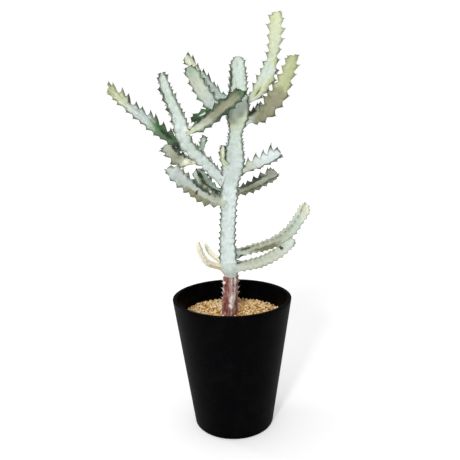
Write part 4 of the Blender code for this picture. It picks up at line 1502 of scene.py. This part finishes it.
def area_light(name, place, target, size, height, power):
    """A soft rectangular light that faces a point."""
    lamp = bpy.data.lights.new(name, "AREA")
    lamp.shape = "RECTANGLE"
    lamp.size = size
    lamp.size_y = height
    lamp.energy = power
    light = bpy.data.objects.new(name, lamp)
    light.location = place
    light.rotation_euler = (Vector(target) - Vector(place)).to_track_quat("-Z", "Y").to_euler()
    bpy.context.scene.collection.objects.link(light)


def white_surround(strength):
    """White all round to the eye, lit more from above than from below, and dimmer in reflections."""
    world = bpy.data.worlds.new("studio_white")
    world.use_nodes = True
    tree = world.node_tree
    background = tree.nodes["Background"]
    background.inputs["Color"].default_value = (1, 1, 1, 1)
    height = node(tree, "ShaderNodeSeparateXYZ", {0: node(tree, "ShaderNodeTexCoord").outputs["Generated"]})
    sky = ranged(tree, eased(tree, height.outputs[2], -0.2, 0.9), strength * 0.75, strength * 1.15)
    path = node(tree, "ShaderNodeLightPath").outputs
    dimmed = times(tree, sky, ranged(tree, path["Is Glossy Ray"], 1.0, 0.3))
    seen = times(tree, path["Is Camera Ray"], 1.02)
    tree.links.new(maths(tree, "MAXIMUM", dimmed, seen), background.inputs["Strength"])
    bpy.context.scene.world = world


def make_floor(colour):
    """A wide disc with a faint grain, which glows to the eye alone, more with distance, to stay white."""
    bm = bmesh.new()
    bmesh.ops.create_circle(bm, cap_ends=True, segments=96, radius=FLOOR_RADIUS)
    mesh = bpy.data.meshes.new("studio_floor")
    bm.to_mesh(mesh)
    bm.free()
    floor = bpy.data.objects.new("studio_floor", mesh)
    bpy.context.scene.collection.objects.link(floor)
    made, tree, shader = new_material("studio_floor_paint")
    place = node(tree, "ShaderNodeTexCoord").outputs["Object"]
    grain = speckle(tree, place, 40, 3.0)
    seen = node(tree, "ShaderNodeLightPath").outputs["Is Camera Ray"]
    shown = mixed(tree, seen, darker(colour, FLOOR_BOUNCE), (*colour, 1.0))
    tree.links.new(shown, shader.inputs["Base Color"])
    tree.links.new(ranged(tree, grain, 0.85, 0.95), shader.inputs["Roughness"])
    away = node(tree, "ShaderNodeVectorMath", {0: place}, operation="LENGTH").outputs["Value"]
    glow = ranged(tree, eased(tree, away, *FLOOR_GLOW_REACH), *FLOOR_GLOW)
    tree.links.new(times(tree, seen, glow), shader.inputs["Emission Strength"])
    shader.inputs["Emission Color"].default_value = (1, 1, 1, 1)
    mesh.materials.append(made)


class EUPHORBIA_OT_stage(Operator):
    """Set the floor, the soft light and the camera"""

    bl_idname = "euphorbia.stage"
    bl_label = "Stage"

    def execute(self, context):
        stage = context.scene.euphorbia_stage
        white_surround(stage.sky)
        make_floor(stage.floor)
        middle = (CAD_BOX[0] + CAD_BOX[1]) / 2
        area_light("key_light", KEY_PLACE, middle, KEY_SIZE, KEY_SIZE, stage.key_power)
        area_light("sheen_light", SHEEN_PLACE, SHEEN_TARGET, *SHEEN_SIZE, stage.sheen_power)
        lens = bpy.data.cameras.new("front_camera")
        lens.sensor_width = SENSOR_WIDTH
        lens.lens = FOCAL_LENGTH
        lens.clip_start = 0.01
        camera = bpy.data.objects.new("front_camera", lens)
        camera.location = CAMERA_PLACE
        pitch = Matrix.Rotation(math.radians(90 - CAMERA_DOWN), 4, "X")
        roll = Matrix.Rotation(math.radians(CAMERA_ROLL), 4, "Z")
        camera.rotation_euler = (pitch @ roll).to_euler()
        context.scene.collection.objects.link(camera)
        context.scene.camera = camera
        context.scene.view_settings.view_transform = "Standard"
        return {"FINISHED"}


class EUPHORBIA_PT_sidebar(Panel):
    """The plant's pieces, in the order that they are made"""

    bl_label = "Potted Euphorbia"
    bl_idname = "EUPHORBIA_PT_sidebar"
    bl_space_type = "VIEW_3D"
    bl_region_type = "UI"
    bl_category = "Euphorbia"

    def draw(self, context):
        for operator in OPERATORS:
            self.layout.operator(operator.bl_idname)
        for name, group in SETTINGS.items():
            box = self.layout.box()
            box.label(text=group.__doc__)
            for label in group.__annotations__:
                box.prop(getattr(context.scene, name), label)


OPERATORS = (
    EUPHORBIA_OT_stage,
    EUPHORBIA_OT_pot,
    EUPHORBIA_OT_soil,
    EUPHORBIA_OT_granules,
    EUPHORBIA_OT_stock,
    EUPHORBIA_OT_main_stem,
    EUPHORBIA_OT_low_arms,
    EUPHORBIA_OT_middle_arms,
    EUPHORBIA_OT_upper_arms,
)

SETTINGS = {
    "euphorbia_pot": EuphorbiaPot,
    "euphorbia_fill": EuphorbiaFill,
    "euphorbia_paints": EuphorbiaPaints,
    "euphorbia_teeth": EuphorbiaTeeth,
    "euphorbia_stage": EuphorbiaStage,
}


def register():
    for name, group in SETTINGS.items():
        bpy.utils.register_class(group)
        setattr(bpy.types.Scene, name, PointerProperty(type=group))
    for made in (*OPERATORS, EUPHORBIA_PT_sidebar):
        bpy.utils.register_class(made)


def unregister():
    for made in (EUPHORBIA_PT_sidebar, *reversed(OPERATORS)):
        bpy.utils.unregister_class(made)
    for name, group in SETTINGS.items():
        delattr(bpy.types.Scene, name)
        bpy.utils.unregister_class(group)


def main():
    register()
    for operator in OPERATORS:
        family, action = operator.bl_idname.split(".")
        getattr(getattr(bpy.ops, family), action)()


if __name__ == "__main__":
    main()
